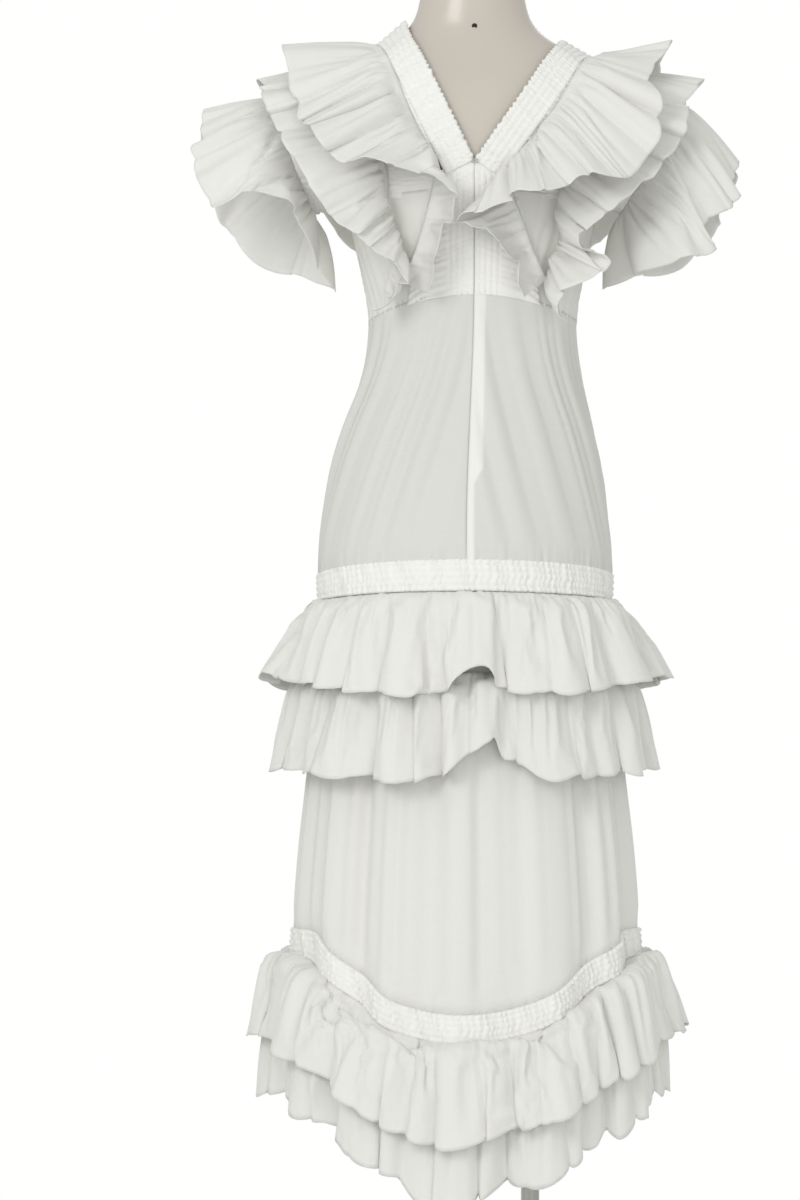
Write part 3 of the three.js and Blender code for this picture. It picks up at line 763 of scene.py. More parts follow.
def resampled(net: np.ndarray, closed: bool) -> Surface:
    """A smooth field through a net of vectors, as a function of u and v.

    Args:
        net: vectors by column and row.
        closed: whether u = 1 meets u = 0.

    Returns:
        The field.
    """
    columns, rows = net.shape[0] - 1, net.shape[1] - 1

    def weights(t: np.ndarray) -> list[np.ndarray]:
        """Weights of the four values about a place, at shares t between the middle two."""
        outer, inner = (-t + 2 * t**2 - t**3, t**3 - t**2), (2 - 5 * t**2 + 3 * t**3, t + 4 * t**2 - 3 * t**3)
        return [0.5 * weight for weight in (outer[0], inner[0], inner[1], outer[1])]

    def at(u: np.ndarray, v: np.ndarray) -> Points:
        """Vectors of the field.

        Args:
            u: places along the piece, 0 to 1.
            v: places across it, 0 to 1.

        Returns:
            One vector for each place.
        """
        x, y = np.clip(u, 0, 1) * columns, np.clip(v, 0, 1) * rows
        i, j = np.minimum(np.floor(x).astype(int), columns - 1), np.minimum(np.floor(y).astype(int), rows - 1)
        total = np.zeros((len(u), 3))
        for a, wx in enumerate(weights(x - i)):
            column = (i + a - 1) % columns if closed else np.clip(i + a - 1, 0, columns)
            for b, wy in enumerate(weights(y - j)):
                total += net[column, np.clip(j + b - 1, 0, rows)] * (wx * wy)[:, None]
        return total

    return at


# ---- Finishes ---------------------------------------------------------------------------------------


def new_group(name: str, inputs: Sequence[tuple[str, str, float]], outputs: Sequence[tuple[str, str]]
              ) -> tuple[bpy.types.NodeTree, bpy.types.Node, bpy.types.Node]:
    """An empty shader node group with named sockets, and its input and output nodes.

    Args:
        name: the group's name.
        inputs: the name, kind and first value of each input.
        outputs: the name and kind of each output.

    Returns:
        The group, its input node and its output node.
    """
    group = bpy.data.node_groups.new(name, "ShaderNodeTree")
    for label, kind, value in inputs:
        made = group.interface.new_socket(label, in_out="INPUT", socket_type=kind)
        if kind == "NodeSocketFloat":
            made.default_value = value
    for label, kind in outputs:
        group.interface.new_socket(label, in_out="OUTPUT", socket_type=kind)
    return group, group.nodes.new("NodeGroupInput"), group.nodes.new("NodeGroupOutput")


def math_node(tree: bpy.types.NodeTree, operation: str, a: bpy.types.NodeSocket | float,
              b: bpy.types.NodeSocket | float | None = None,
              c: bpy.types.NodeSocket | float | None = None) -> bpy.types.NodeSocket:
    """A Math node's result, from sockets or numbers.

    Args:
        tree: the node tree.
        operation: what the node does.
        a: its first value.
        b: its second value.
        c: its third value.

    Returns:
        The socket that holds the result.
    """
    node = tree.nodes.new("ShaderNodeMath")
    node.operation = operation
    for socket, value in zip(node.inputs, (a, b, c)):
        if isinstance(value, bpy.types.NodeSocket):
            tree.links.new(value, socket)
        elif value is not None:
            socket.default_value = value
    return node.outputs[0]


@dataclass(frozen=True)
class PlainWeave:
    """Crossed threads with slubs, as a height, from cloth coordinates in metres."""

    pitch: float = 0.0005

    def build(self) -> bpy.types.NodeTree:
        """The node group: threads and creases as a height, and the slubs as a mask.

        Returns:
            The group.
        """
        group, given, result = new_group(
            "plain weave",
            (("Cloth", "NodeSocketVector", 0.0), ("Object", "NodeSocketVector", 0.0),
             ("Crease", "NodeSocketFloat", 1.0)),
            (("Height", "NodeSocketFloat"), ("Slub", "NodeSocketFloat")),
        )
        links, nodes = group.links, group.nodes
        split = nodes.new("ShaderNodeSeparateXYZ")
        links.new(given.outputs["Cloth"], split.inputs[0])
        turn = 2.0 * math.pi / self.pitch
        threads = [math_node(group, "SINE", math_node(group, "MULTIPLY", split.outputs[i], turn)) for i in (0, 1)]
        weave = math_node(group, "MULTIPLY", threads[0], threads[1])
        slub = nodes.new("ShaderNodeTexNoise")
        slub.inputs["Scale"].default_value = 160.0
        slub.inputs["Detail"].default_value = 3.0
        stretched = nodes.new("ShaderNodeMapping")
        stretched.inputs["Scale"].default_value = (0.25, 2.2, 1.0)
        links.new(given.outputs["Cloth"], stretched.inputs["Vector"])
        links.new(stretched.outputs[0], slub.inputs["Vector"])
        crumple = nodes.new("ShaderNodeTexNoise")
        crumple.inputs["Scale"].default_value = 34.0
        crumple.inputs["Detail"].default_value = 4.0
        crumple.inputs["Roughness"].default_value = 0.55
        crumple.inputs["Distortion"].default_value = 0.6
        links.new(given.outputs["Object"], crumple.inputs["Vector"])
        ridge = math_node(group, "ABSOLUTE", math_node(group, "SUBTRACT", crumple.outputs[0], 0.5))
        creases = math_node(group, "MULTIPLY", ridge, math_node(group, "MULTIPLY", given.outputs["Crease"], -9.0))
        fine = math_node(group, "MULTIPLY_ADD", slub.outputs[0], 0.5, math_node(group, "MULTIPLY", weave, 0.22))
        links.new(math_node(group, "ADD", fine, creases), result.inputs["Height"])
        links.new(slub.outputs[0], result.inputs["Slub"])
        return group


@dataclass(frozen=True)
class StitchedEdge:
    """A turned hem with one row of stitches, from cloth coordinates in metres."""

    width: float = 0.008

    def build(self) -> bpy.types.NodeTree:
        """The node group: the hem's step and stitches as a height, by distance from the free edge.

        Returns:
            The group.
        """
        group, given, result = new_group(
            "stitched edge",
            (("Cloth", "NodeSocketVector", 0.0),),
            (("Height", "NodeSocketFloat"),),
        )
        split = group.nodes.new("ShaderNodeSeparateXYZ")
        group.links.new(given.outputs["Cloth"], split.inputs[0])
        inward = split.outputs[1]
        step = math_node(group, "COMPARE", inward, 0.0, self.width)
        row = math_node(group, "COMPARE", inward, self.width - 0.001, 0.0006)
        dash = math_node(group, "GREATER_THAN", math_node(group, "SINE", math_node(
            group, "MULTIPLY", split.outputs[0], 2.0 * math.pi / 0.0028)), -0.35)
        stitch = math_node(group, "MULTIPLY", row, dash)
        group.links.new(math_node(group, "SUBTRACT", step, math_node(group, "MULTIPLY", stitch, 1.2)),
                        result.inputs["Height"])
        return group


@dataclass(frozen=True)
class Cotton:
    """White plain-weave cotton."""

    name: str
    color: tuple[float, float, float]
    shade: tuple[float, float, float]
    crease: float = 1.0
    relief: float = 0.25
    alpha: float = 1.0
    hem: bool = False

    def build(self, weave: bpy.types.NodeTree, hem: bpy.types.NodeTree) -> bpy.types.Material:
        """The material, with the weave and the hem as its relief.

        Args:
            weave: the weave group.
            hem: the hem group.

        Returns:
            The material.
        """
        material = bpy.data.materials.new(self.name)
        material.use_nodes = True
        tree = material.node_tree
        shader = tree.nodes["Principled BSDF"]
        shader.inputs["Roughness"].default_value = 0.86
        shader.inputs["Specular IOR Level"].default_value = 0.25
        shader.inputs["Sheen Weight"].default_value = 0.12
        shader.inputs["Sheen Roughness"].default_value = 0.5
        shader.inputs["Alpha"].default_value = self.alpha
        cloth = tree.nodes.new("ShaderNodeUVMap")
        cloth.uv_map = "cloth"
        place = tree.nodes.new("ShaderNodeTexCoord")
        woven = tree.nodes.new("ShaderNodeGroup")
        woven.node_tree = weave
        woven.inputs["Crease"].default_value = self.crease
        tree.links.new(cloth.outputs[0], woven.inputs["Cloth"])
        tree.links.new(place.outputs["Object"], woven.inputs["Object"])
        tint = tree.nodes.new("ShaderNodeMix")
        tint.data_type = "RGBA"
        tint.inputs["A"].default_value = (*self.color, 1.0)
        tint.inputs["B"].default_value = (*self.shade, 1.0)
        tree.links.new(math_node(tree, "MULTIPLY", woven.outputs["Slub"], 0.5), tint.inputs["Factor"])
        layers = tree.nodes.new("ShaderNodeAttribute")
        layers.attribute_name = "doubled"
        double = tree.nodes.new("ShaderNodeMix")
        double.data_type = "RGBA"
        double.inputs["B"].default_value = (*WHITE, 1.0)
        tree.links.new(layers.outputs["Fac"], double.inputs["Factor"])
        tree.links.new(tint.outputs["Result"], double.inputs["A"])
        tree.links.new(double.outputs["Result"], shader.inputs["Base Color"])
        relief = tree.nodes.new("ShaderNodeBump")
        relief.inputs["Strength"].default_value = self.relief
        relief.inputs["Distance"].default_value = 0.0012
        height = woven.outputs["Height"]
        if self.hem:
            edge = tree.nodes.new("ShaderNodeGroup")
            edge.node_tree = hem
            tree.links.new(cloth.outputs[0], edge.inputs["Cloth"])
            height = math_node(tree, "ADD", height, edge.outputs["Height"])
        tree.links.new(height, relief.inputs["Height"])
        tree.links.new(relief.outputs[0], shader.inputs["Normal"])
        return material


@dataclass(frozen=True)
class Hard:
    """A smooth hard finish with faint unevenness: lacquer, metal, or the near-black painted shade in the screw hole.
    """

    name: str
    color: tuple[float, float, float]
    roughness: float
    metallic: float = 0.0
    coat: float = 0.0
    spread: float = 0.05

    def build(self) -> bpy.types.Material:
        """The material, with faint mottling in its colour and roughness.

        Returns:
            The material.
        """
        material = bpy.data.materials.new(self.name)
        material.use_nodes = True
        tree = material.node_tree
        shader = tree.nodes["Principled BSDF"]
        shader.inputs["Metallic"].default_value = self.metallic
        shader.inputs["Coat Weight"].default_value = self.coat
        shader.inputs["Coat Roughness"].default_value = 0.18
        place = tree.nodes.new("ShaderNodeTexCoord")
        cloud = tree.nodes.new("ShaderNodeTexNoise")
        cloud.inputs["Scale"].default_value = 9.0
        cloud.inputs["Detail"].default_value = 5.0
        tree.links.new(place.outputs["Object"], cloud.inputs["Vector"])
        tint = tree.nodes.new("ShaderNodeMix")
        tint.data_type = "RGBA"
        tint.inputs["A"].default_value = (*[c * (1 - self.spread) for c in self.color], 1.0)
        tint.inputs["B"].default_value = (*[min(1.0, c * (1 + self.spread)) for c in self.color], 1.0)
        tree.links.new(cloud.outputs[0], tint.inputs["Factor"])
        tree.links.new(tint.outputs["Result"], shader.inputs["Base Color"])
        rough = math_node(tree, "MULTIPLY_ADD", cloud.outputs[0], 0.08, self.roughness - 0.04)
        tree.links.new(rough, shader.inputs["Roughness"])
        grain = tree.nodes.new("ShaderNodeTexNoise")
        grain.inputs["Scale"].default_value = 420.0
        tree.links.new(place.outputs["Object"], grain.inputs["Vector"])
        relief = tree.nodes.new("ShaderNodeBump")
        relief.inputs["Strength"].default_value = 0.06
        relief.inputs["Distance"].default_value = 0.0004
        tree.links.new(grain.outputs[0], relief.inputs["Height"])
        tree.links.new(relief.outputs[0], shader.inputs["Normal"])
        return material


WHITE = (0.90, 0.90, 0.865)
WHITE_SHADE = (0.865, 0.86, 0.815)
VOILE = (0.765, 0.765, 0.73)
VOILE_SHADE = (0.70, 0.695, 0.655)


def make_finishes() -> dict[str, bpy.types.Material]:
    """Every material of the dress, the form and its stand.

    Returns:
        Materials by name.
    """
    weave, hem = PlainWeave().build(), StitchedEdge().build()
    cottons = (
        Cotton("hemmed", (0.81, 0.81, 0.775), (0.755, 0.75, 0.705), crease=0.9, relief=0.3, hem=True),
        Cotton("shirred", WHITE, WHITE_SHADE, crease=0.4, relief=0.3),
        Cotton("voile", VOILE, VOILE_SHADE, crease=0.35, relief=0.2, alpha=0.9),
        Cotton("skirt", (0.80, 0.80, 0.76), (0.745, 0.74, 0.695), crease=0.5, relief=0.3),
        Cotton("tape", (0.88, 0.88, 0.85), (0.84, 0.84, 0.80), crease=0.1, relief=0.3),
    )
    hards = (
        Hard("form", (0.56, 0.515, 0.45), 0.34, coat=0.4),
        Hard("steel", (0.42, 0.415, 0.39), 0.16, metallic=1.0, spread=0.08),
        Hard("hook", (0.45, 0.45, 0.47), 0.3, metallic=1.0),
        # near-black painted shade that stands for the inside of the screw hole
        Hard("painted_hole_shade", (0.015, 0.012, 0.01), 0.8),
    )
    made = {c.name: c.build(weave, hem) for c in cottons}
    made.update({h.name: h.build() for h in hards})
    return made


# ---- The dress form and its stand -------------------------------------------------------------------


@dataclass
class DressForm:
    """The limbless torso with its neck cap, and the pole stand that carries it."""

    shop: Workshop
    under: float = 792.0
    neck_top: float = 1572.0
    hole_x: float = 1.0
    hole_z: float = 1463.0
    hole_radius: float = 3.0

    def build(self) -> None:
        """Makes the form, its cap and the stand."""
        self.torso()
        self.screw_hole()
        self.cap()
        self.stand()

    def torso(self) -> None:
        """The torso and neck as one smooth closed shape."""
        level = np.concatenate([[0.0], np.linspace(0.0, 1.0, 139), [1.0]])
        inset = np.concatenate([[0.02], np.ones(139), [0.02]])

        def surface(u: np.ndarray, v: np.ndarray) -> Points:
            """The torso, drawn in to the middle at both ends.

            Args:
                u: places along the piece, 0 to 1.
                v: places across it, 0 to 1.

            Returns:
                Points in millimetres.
            """
            place = np.linspace(0.0, 1.0, len(level))
            z = mix(self.under, self.neck_top, np.interp(v, place, level))
            middle = np.stack([FORM.sway(z), 0.0 * z, z], axis=1)
            return mix(middle, FORM.point(360.0 * u, z), np.interp(v, place, inset)[:, None])

        body = self.shop.sheet("form_torso", surface, (96, 140), (900.0, 780.0), closed=True)
        bm = bmesh.new()
        bm.from_mesh(body.data)
        bmesh.ops.holes_fill(bm, edges=[e for e in bm.edges if e.is_boundary], sides=0)
        bmesh.ops.recalc_face_normals(bm, faces=bm.faces)
        bm.to_mesh(body.data)
        bm.free()
        self.shop.finish(body, "form", "form", ("form_body",))

    def screw_hole(self) -> None:
        """The small screw hole in the nape, as a shallow near-black dish on the surface whose colour is painted shade
        for the inside of the hole.
        """
        y = float(FORM.at(self.hole_x, self.hole_z, Half.BACK, 0.0)[0][1])
        radius = self.hole_radius
        dish = [(0.0, 0.3), (radius * 0.8, 0.3), (radius, 0.5), (radius * 1.1, -1.0), (0.0, -1.0)]
        plug = self.spun("form_screw_hole", dish, 24, (self.hole_x, y, self.hole_z), Vector((0, -1, 0)))
        # the dish's near-black colour is painted shade for the hole's inside, as the torso has no bore
        self.shop.finish(plug, "form", "painted_hole_shade")

    def spun(self, name: str, profile: Sequence[tuple[float, float]], steps: int,
             centre: tuple[float, float, float], axis: Vector = Vector((0, 0, 1))) -> bpy.types.Object:
        """Spins a round piece.

        Args:
            name: the piece's name.
            profile: (radius, height) pairs from the bottom up, starting and ending on the axis.
            steps: steps round it.
            centre: where the profile's height 0 lies.
            axis: the direction of its height.

        Returns:
            The new object.
        """
        bm = bmesh.new()
        verts = [bm.verts.new((r * MM, 0.0, z * MM)) for r, z in profile]
        edges = [bm.edges.new(pair) for pair in zip(verts, verts[1:])]
        bmesh.ops.spin(bm, geom=verts + edges, axis=(0, 0, 1), cent=(0, 0, 0), angle=2 * math.pi, steps=steps,
                       use_merge=True, use_duplicate=False)
        bmesh.ops.remove_doubles(bm, verts=bm.verts, dist=1e-6)
        bmesh.ops.recalc_face_normals(bm, faces=bm.faces)
        turn = Vector((0, 0, 1)).rotation_difference(axis).to_matrix().to_4x4()
        bmesh.ops.transform(bm, matrix=turn, verts=bm.verts)
        bmesh.ops.translate(bm, vec=(Vector(centre) + self.shop.shift) * MM, verts=bm.verts)
        return self.shop.piece(name, bm, 30.0)

    def cap(self) -> None:
        """The polished cap that closes the neck."""
        low, high = (Vector(corner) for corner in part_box("neck_cap"))
        bm = bmesh.new()
        bmesh.ops.create_cone(bm, cap_ends=True, segments=96, radius1=0.5, radius2=0.5, depth=1.0)
        bmesh.ops.scale(bm, vec=high - low, verts=bm.verts)
        bmesh.ops.translate(bm, vec=(low + high) / 2, verts=bm.verts)
        rim = [e for e in bm.edges if abs(e.verts[0].co.z - e.verts[1].co.z) < 1e-6]
        bmesh.ops.bevel(bm, geom=rim, offset=2.2 * MM, offset_type="OFFSET", affect="EDGES", segments=4,
                        profile=0.5, material=-1, clamp_overlap=True)
        self.shop.finish(self.shop.piece("neck_plate", bm, 35.0), "steel", "steel", ("neck_cap",))

    def stand(self) -> None:
        """The flange, pole, collar and base, turned on the pole's axis."""
        for node, name in (("pole_flange", "stand_flange"), ("pole", "stand_pole"), ("base_collar", "stand_collar"),
                           ("base_plate", "stand_base")):
            low, high = (Vector(corner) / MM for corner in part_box(node))
            radius, tall = (high.x - low.x) / 2, high.z - low.z
            rise = {
                "pole_flange": [(radius, 1.5), (radius, tall - 1.5), (radius - 1.5, tall)],
                "pole": [(radius, 0.5), (radius, tall - 0.5), (radius - 0.5, tall)],
                "base_collar": [(radius, 1.0), (radius, tall - 9), (radius - 1, tall - 5), (radius - 4, tall - 1)],
                "base_plate": [(radius, 2.0), (radius, 5.0), (radius - 3, 7.4), (radius - 12, 9.0), (29.0, tall)],
            }[node]
            profile = [(0.0, 0.0), (radius - 1.5, 0.0), *rise, (rise[-1][0] - 1.0, tall), (0.0, tall)]
            middle = (low + high) / 2 - self.shop.shift
            piece = self.spun(name, profile, 80, (middle.x, middle.y, low.z))
            self.shop.finish(piece, "steel", "steel", (node,))


# ---- Shirring ---------------------------------------------------------------------------------------


@dataclass(frozen=True)
class Shirring:
    """Rows of elastic stitching that gather a cloth along their run."""

    rows: int
    pitch: float = 5.4
    puff: float = 1.0
    seed: float = 0.0

    def relief(self, along: np.ndarray, across: np.ndarray) -> np.ndarray:
        """How far the cloth stands out.

        Args:
            along: millimetres along the rows.
            across: 0 to 1 from the first row's edge to the last.

        Returns:
            Millimetres of height.
        """
        row = np.minimum(across * self.rows, self.rows - 1e-6)
        number = np.floor(row)
        swell = np.sin(math.pi * (row - number)) ** 0.7
        gathers = crimp(along + 1.3 * np.sin(number * 2.1), self.pitch, self.seed + 0.35 * number)
        return self.puff * swell * (0.7 + 1.1 * gathers) - 0.4 * (1 - swell)


# ---- Bodice -----------------------------------------------------------------------------------------

Edge = tuple[tuple[tuple[float, float], ...], float]


@dataclass(frozen=True)
class BandEdges:
    """The edges of one side's shirred bands: (x, z) pairs up the back, and where each crosses the shoulder."""

    neck: Edge
    neck_band: Edge
    yoke_inner: Edge
    yoke_outer: Edge


EDGES = {
    Side.LEFT: BandEdges(
        neck=(((-1, 1305), (-20, 1345), (-39, 1385), (-58, 1425), (-70, 1449)), -78),
        neck_band=(((-29, 1291), (-48, 1331), (-67, 1371), (-86, 1411), (-96, 1433)), -106),
        yoke_inner=(((-40, 1264), (-39, 1296), (-51, 1331), (-70, 1371), (-89, 1410), (-99, 1432)), -109),
        yoke_outer=(((-90, 1264), (-92, 1298), (-99, 1338), (-110, 1375), (-124, 1407), (-131, 1422)), -139),
    ),
    Side.RIGHT: BandEdges(
        neck=(((1, 1305), (27, 1343), (54, 1382), (78, 1418), (94, 1440)), 103),
        neck_band=(((27, 1287), (53, 1325), (80, 1364), (104, 1400), (119, 1424)), 134),
        yoke_inner=(((40, 1264), (39, 1290), (56, 1325), (83, 1364), (107, 1400), (122, 1423)), 137),
        yoke_outer=(((90, 1264), (94, 1298), (106, 1338), (122, 1372), (138, 1396), (147, 1407)), 156),
    ),
}
SIDE_TOP = 1260.0  # height of the side panels' top edge


def waist(degrees: np.ndarray) -> np.ndarray:
    """Height of the waist seam, which rises to the centre back and a little to the centre front."""
    cosine = np.cos(np.radians(degrees))
    return 1130.0 + np.where(cosine > 0, 28.0, 18.0) * cosine**2


@dataclass
class Bodice:
    """The V-necked bodice: shirred bands, gathered centre panels, side panels and the zip."""

    shop: Workshop
    tuck: float = 3.0  # how far a panel's edge is tucked under its neighbour's
    panel_level: float = 1150.0
    v_point: float = 1303.0
    panel_top: tuple[float, float] = (28.0, 1286.0)
    panel_foot: float = 75.0
    side_seam: float = 89.6
    side_top_inner: float = 40.0
    wire: float = 0.45  # radius of the hook's wire
    ring: float = 1.9  # radius of its rings

    def build(self) -> None:
        """Makes every piece of the bodice."""
        for side in Side:
            edges = EDGES[side]
            self.band("neck_band", edges.neck, edges.neck_band, side, 5, 0.5)
            self.band("yoke_band", edges.yoke_inner, edges.yoke_outer, side, 7, 0.0)
            for half in Half:
                self.centre_panel(half, side)
                self.side_panel(half, side)
        self.zip()
        self.hook()

    def band(self, kind: str, inner: Edge, outer: Edge, side: Side, rows: int, frill: float) -> None:
        """A shirred band up the back, over the shoulder and down the front.

        Args:
            kind: the name of the band, without its side.
            inner: its inner edge.
            outer: its outer edge.
            side: the wearer's left or right.
            rows: its rows of shirring.
            frill: how much its inner edge frills.
        """
        edges = [over_shoulder(edge[0], edge[1], ON_BODY + frill) for edge in (inner, outer)]
        shirring = Shirring(rows, seed=side.sign + frill)

        def base(u: np.ndarray, v: np.ndarray) -> Points:
            """The band between its edges, with a scalloped inner one.

            Args:
                u: places along the piece, 0 to 1.
                v: places across it, 0 to 1.

            Returns:
                Points in millimetres.
            """
            scallop = 0.5 + 0.5 * crimp(463.0 * u, 7.2, 2.0 + side.sign)
            spread = mix(-0.01 - 0.16 * frill * scallop, 1.12, v)
            return mix(edges[0](u), edges[1](u), spread[:, None])

        def relief(along: np.ndarray, down: np.ndarray, u: np.ndarray, v: np.ndarray) -> np.ndarray:
            """Puckers, and the frill of the inner edge."""
            edge = 1 - ease(v, 0.0, 0.12)
            return shirring.relief(along, v) + frill * 2.4 * edge * crimp(along, 6.0, 2.0 + side.sign)

        self.shop.sew(Cloth(
            f"{kind}_{side.value}_shirred", (f"{kind}_{side.value}",), "shirring", "shirred", base, (350, 20), relief,
            (SHIRRED_GATHER, 1.0), Held.STRETCHED, ("form_body",),
        ))

    def on_body(self, lower: Callable, upper: Callable) -> Surface:
        """The dress shell between two lines of angle and height.

        Args:
            lower: angles and heights of the lower line.
            upper: the same for the upper line.

        Returns:
            The surface.
        """

        def base(u: np.ndarray, v: np.ndarray) -> Points:
            """Points between the two lines."""
            low, high = lower(u), upper(u)
            return BODY.point(mix(low[0], high[0], v), mix(low[1], high[1], v), ON_BODY)

        return base

    def centre_panel(self, half: Half, side: Side) -> None:
        """A centre panel: upright gathers beside the centre line, wavy ones towards its side.

        Args:
            half: the back or the front.
            side: the wearer's left or right.
        """
        sign = side.sign
        foot, top = self.panel_foot, self.panel_top[0] + 10.0

        def lower(u: np.ndarray) -> tuple[np.ndarray, np.ndarray]:
            """Angles and heights of the waist edge."""
            degrees = BODY.angle(sign * mix(0.15, foot, u), self.panel_level + 0 * u, half)
            return degrees, waist(degrees) - self.tuck

        def upper(u: np.ndarray) -> tuple[np.ndarray, np.ndarray]:
            """Angles and heights of the top edge."""
            z = mix(self.v_point + 3.0, self.panel_top[1] + 8.0, u)
            return BODY.angle(sign * mix(0.15, top, u), z, half), z

        def relief(along: np.ndarray, down: np.ndarray, u: np.ndarray, v: np.ndarray) -> np.ndarray:
            """Gathers, upright by the centre line and wavy beyond it.

            Args:
                along: millimetres along the piece; not used.
                down: millimetres across it.
                u: places along the piece, 0 to 1.
                v: places across it, 0 to 1.

            Returns:
                Millimetres of height.
            """
            x = u * mix(foot, top, v)
            upright = 1 - ease(x, 24.0, 34.0)
            row = np.sin(math.pi * ((x / 6.6) % 1.0)) ** 0.7
            columns = row * (1.0 + 0.75 * crimp(down + 2.0 * np.floor(x / 6.6), 6.2, 0.3 + sign)) - 0.2 * (1 - row)
            wavy = 1.1 * crimp(down + 0.4 * x + 4 * np.sin(x / 13.0), 8.5, 1.1 * sign)
            wavy = wavy + 0.5 * crimp(down - x, 6.0, 2.0)
            under = ease(v, 0.92, 0.96)
            relief = upright * columns + (1 - upright) * (0.9 + wavy) - 1.2 * (1 - ease(x, 0.0, 2.0))
            return mix(relief, -1.1, under)

        node = f"bodice_{half.value}_{side.value}"
        self.shop.sew(Cloth(
            f"{node}_gathered", (node,), "shirring", "shirred", self.on_body(lower, upper), (56, 96), relief,
            (1.0, CENTRE_GATHER), Held.GATHERED, ("form_body",),
        ))

    def side_panel(self, half: Half, side: Side) -> None:
        """The panel out to the side seam under the arm, with soft pulls from the waist.

        Args:
            half: the back or the front.
            side: the wearer's left or right.
        """
        sign = side.sign
        seam = sign * self.side_seam if half is Half.BACK else 180.0 - sign * self.side_seam

        def lower(u: np.ndarray) -> tuple[np.ndarray, np.ndarray]:
            """Angles and heights of the waist edge.

            Args:
                u: places along the piece, 0 to 1.

            Returns:
                Angles and heights.
            """
            inner = BODY.angle(sign * (self.panel_foot - 6.0) + 0 * u, self.panel_level + 0 * u, half)
            degrees = mix(inner, seam + (0.4 if half is Half.BACK else -0.4) * sign, u)
            return degrees, waist(degrees) - self.tuck

        def upper(u: np.ndarray) -> tuple[np.ndarray, np.ndarray]:
            """Angles and heights of the top edge."""
            inner = BODY.angle(sign * (self.side_top_inner - 8.0) + 0 * u, SIDE_TOP + 0 * u, half)
            return mix(inner, seam, u), mix(SIDE_TOP + 14.0, SIDE_TOP + 2.0, u)

        def relief(along: np.ndarray, down: np.ndarray, u: np.ndarray, v: np.ndarray) -> np.ndarray:
            """Soft slanting pulls."""
            pulls = 1.5 * crimp(along - 0.5 * down, 19.0, sign) + 0.5 * crimp(along + down, 8.0, 1.0)
            return pulls * (1 - 0.5 * v) - 0.8

        node = f"side_{half.value}_{side.value}"
        self.shop.sew(Cloth(
            f"{node}_panel", (node,), "voile", "skirt", self.on_body(lower, upper), (40, 34), relief,
            (SIDE_GATHER, 1.0), Held.HUNG, ("form_body",),
        ))

    def zip(self) -> None:
        """The concealed zip on its tape, inside the centre-back seam."""

        def base(u: np.ndarray, v: np.ndarray) -> Points:
            """The tape, just inside the seam."""
            z = mix(948.0, 1292.0, v)
            return BODY.point(BODY.angle(mix(-8.0, 8.0, u), z), z, -1.6)

        def relief(along: np.ndarray, down: np.ndarray, u: np.ndarray, v: np.ndarray) -> np.ndarray:
            """The row of closed teeth."""
            return 0.5 * np.exp(-(((along - 8.0) / 1.6) ** 2)) * (1 + 0.4 * np.sin(down * 2.4))

        self.shop.sew(Cloth(
            "zip_and_tape", ("zip_tape",), "zip", "tape", base, (14, 260), relief, (1.0, 1.0), Held.STRETCHED,
            ("skirt_back_L", "skirt_back_R"), thickness=0.7,
        ))

    def hook(self) -> None:
        """The wire hook and eye at the point of the V, as two linked rings."""
        low, high = (Vector(corner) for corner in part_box("neck_hook"))
        bm = bmesh.new()
        for sign in (-1.0, 1.0):
            before = set(bm.verts)
            wire = bmesh.ops.create_circle(bm, segments=12, radius=self.wire * MM)["verts"]
            bmesh.ops.translate(bm, vec=(self.ring * MM, 0.0, 0.0), verts=wire)
            edges = list({edge for vert in wire for edge in vert.link_edges})
            bmesh.ops.spin(bm, geom=wire + edges, axis=(0, 1, 0), cent=(0, 0, 0), angle=2 * math.pi, steps=28,
                           use_merge=True, use_duplicate=False)
            ring = [vert for vert in bm.verts if vert not in before]
            bmesh.ops.translate(bm, vec=(low + high) / 2 + Vector((sign * self.ring * MM, 0.0, 0.0)), verts=ring)
        bmesh.ops.recalc_face_normals(bm, faces=bm.faces)
        self.shop.finish(self.shop.piece("hook_and_eye", bm), "hook", "hook", ("neck_hook",))


# ---- Ruffles ----------------------------------------------------------------------------------------


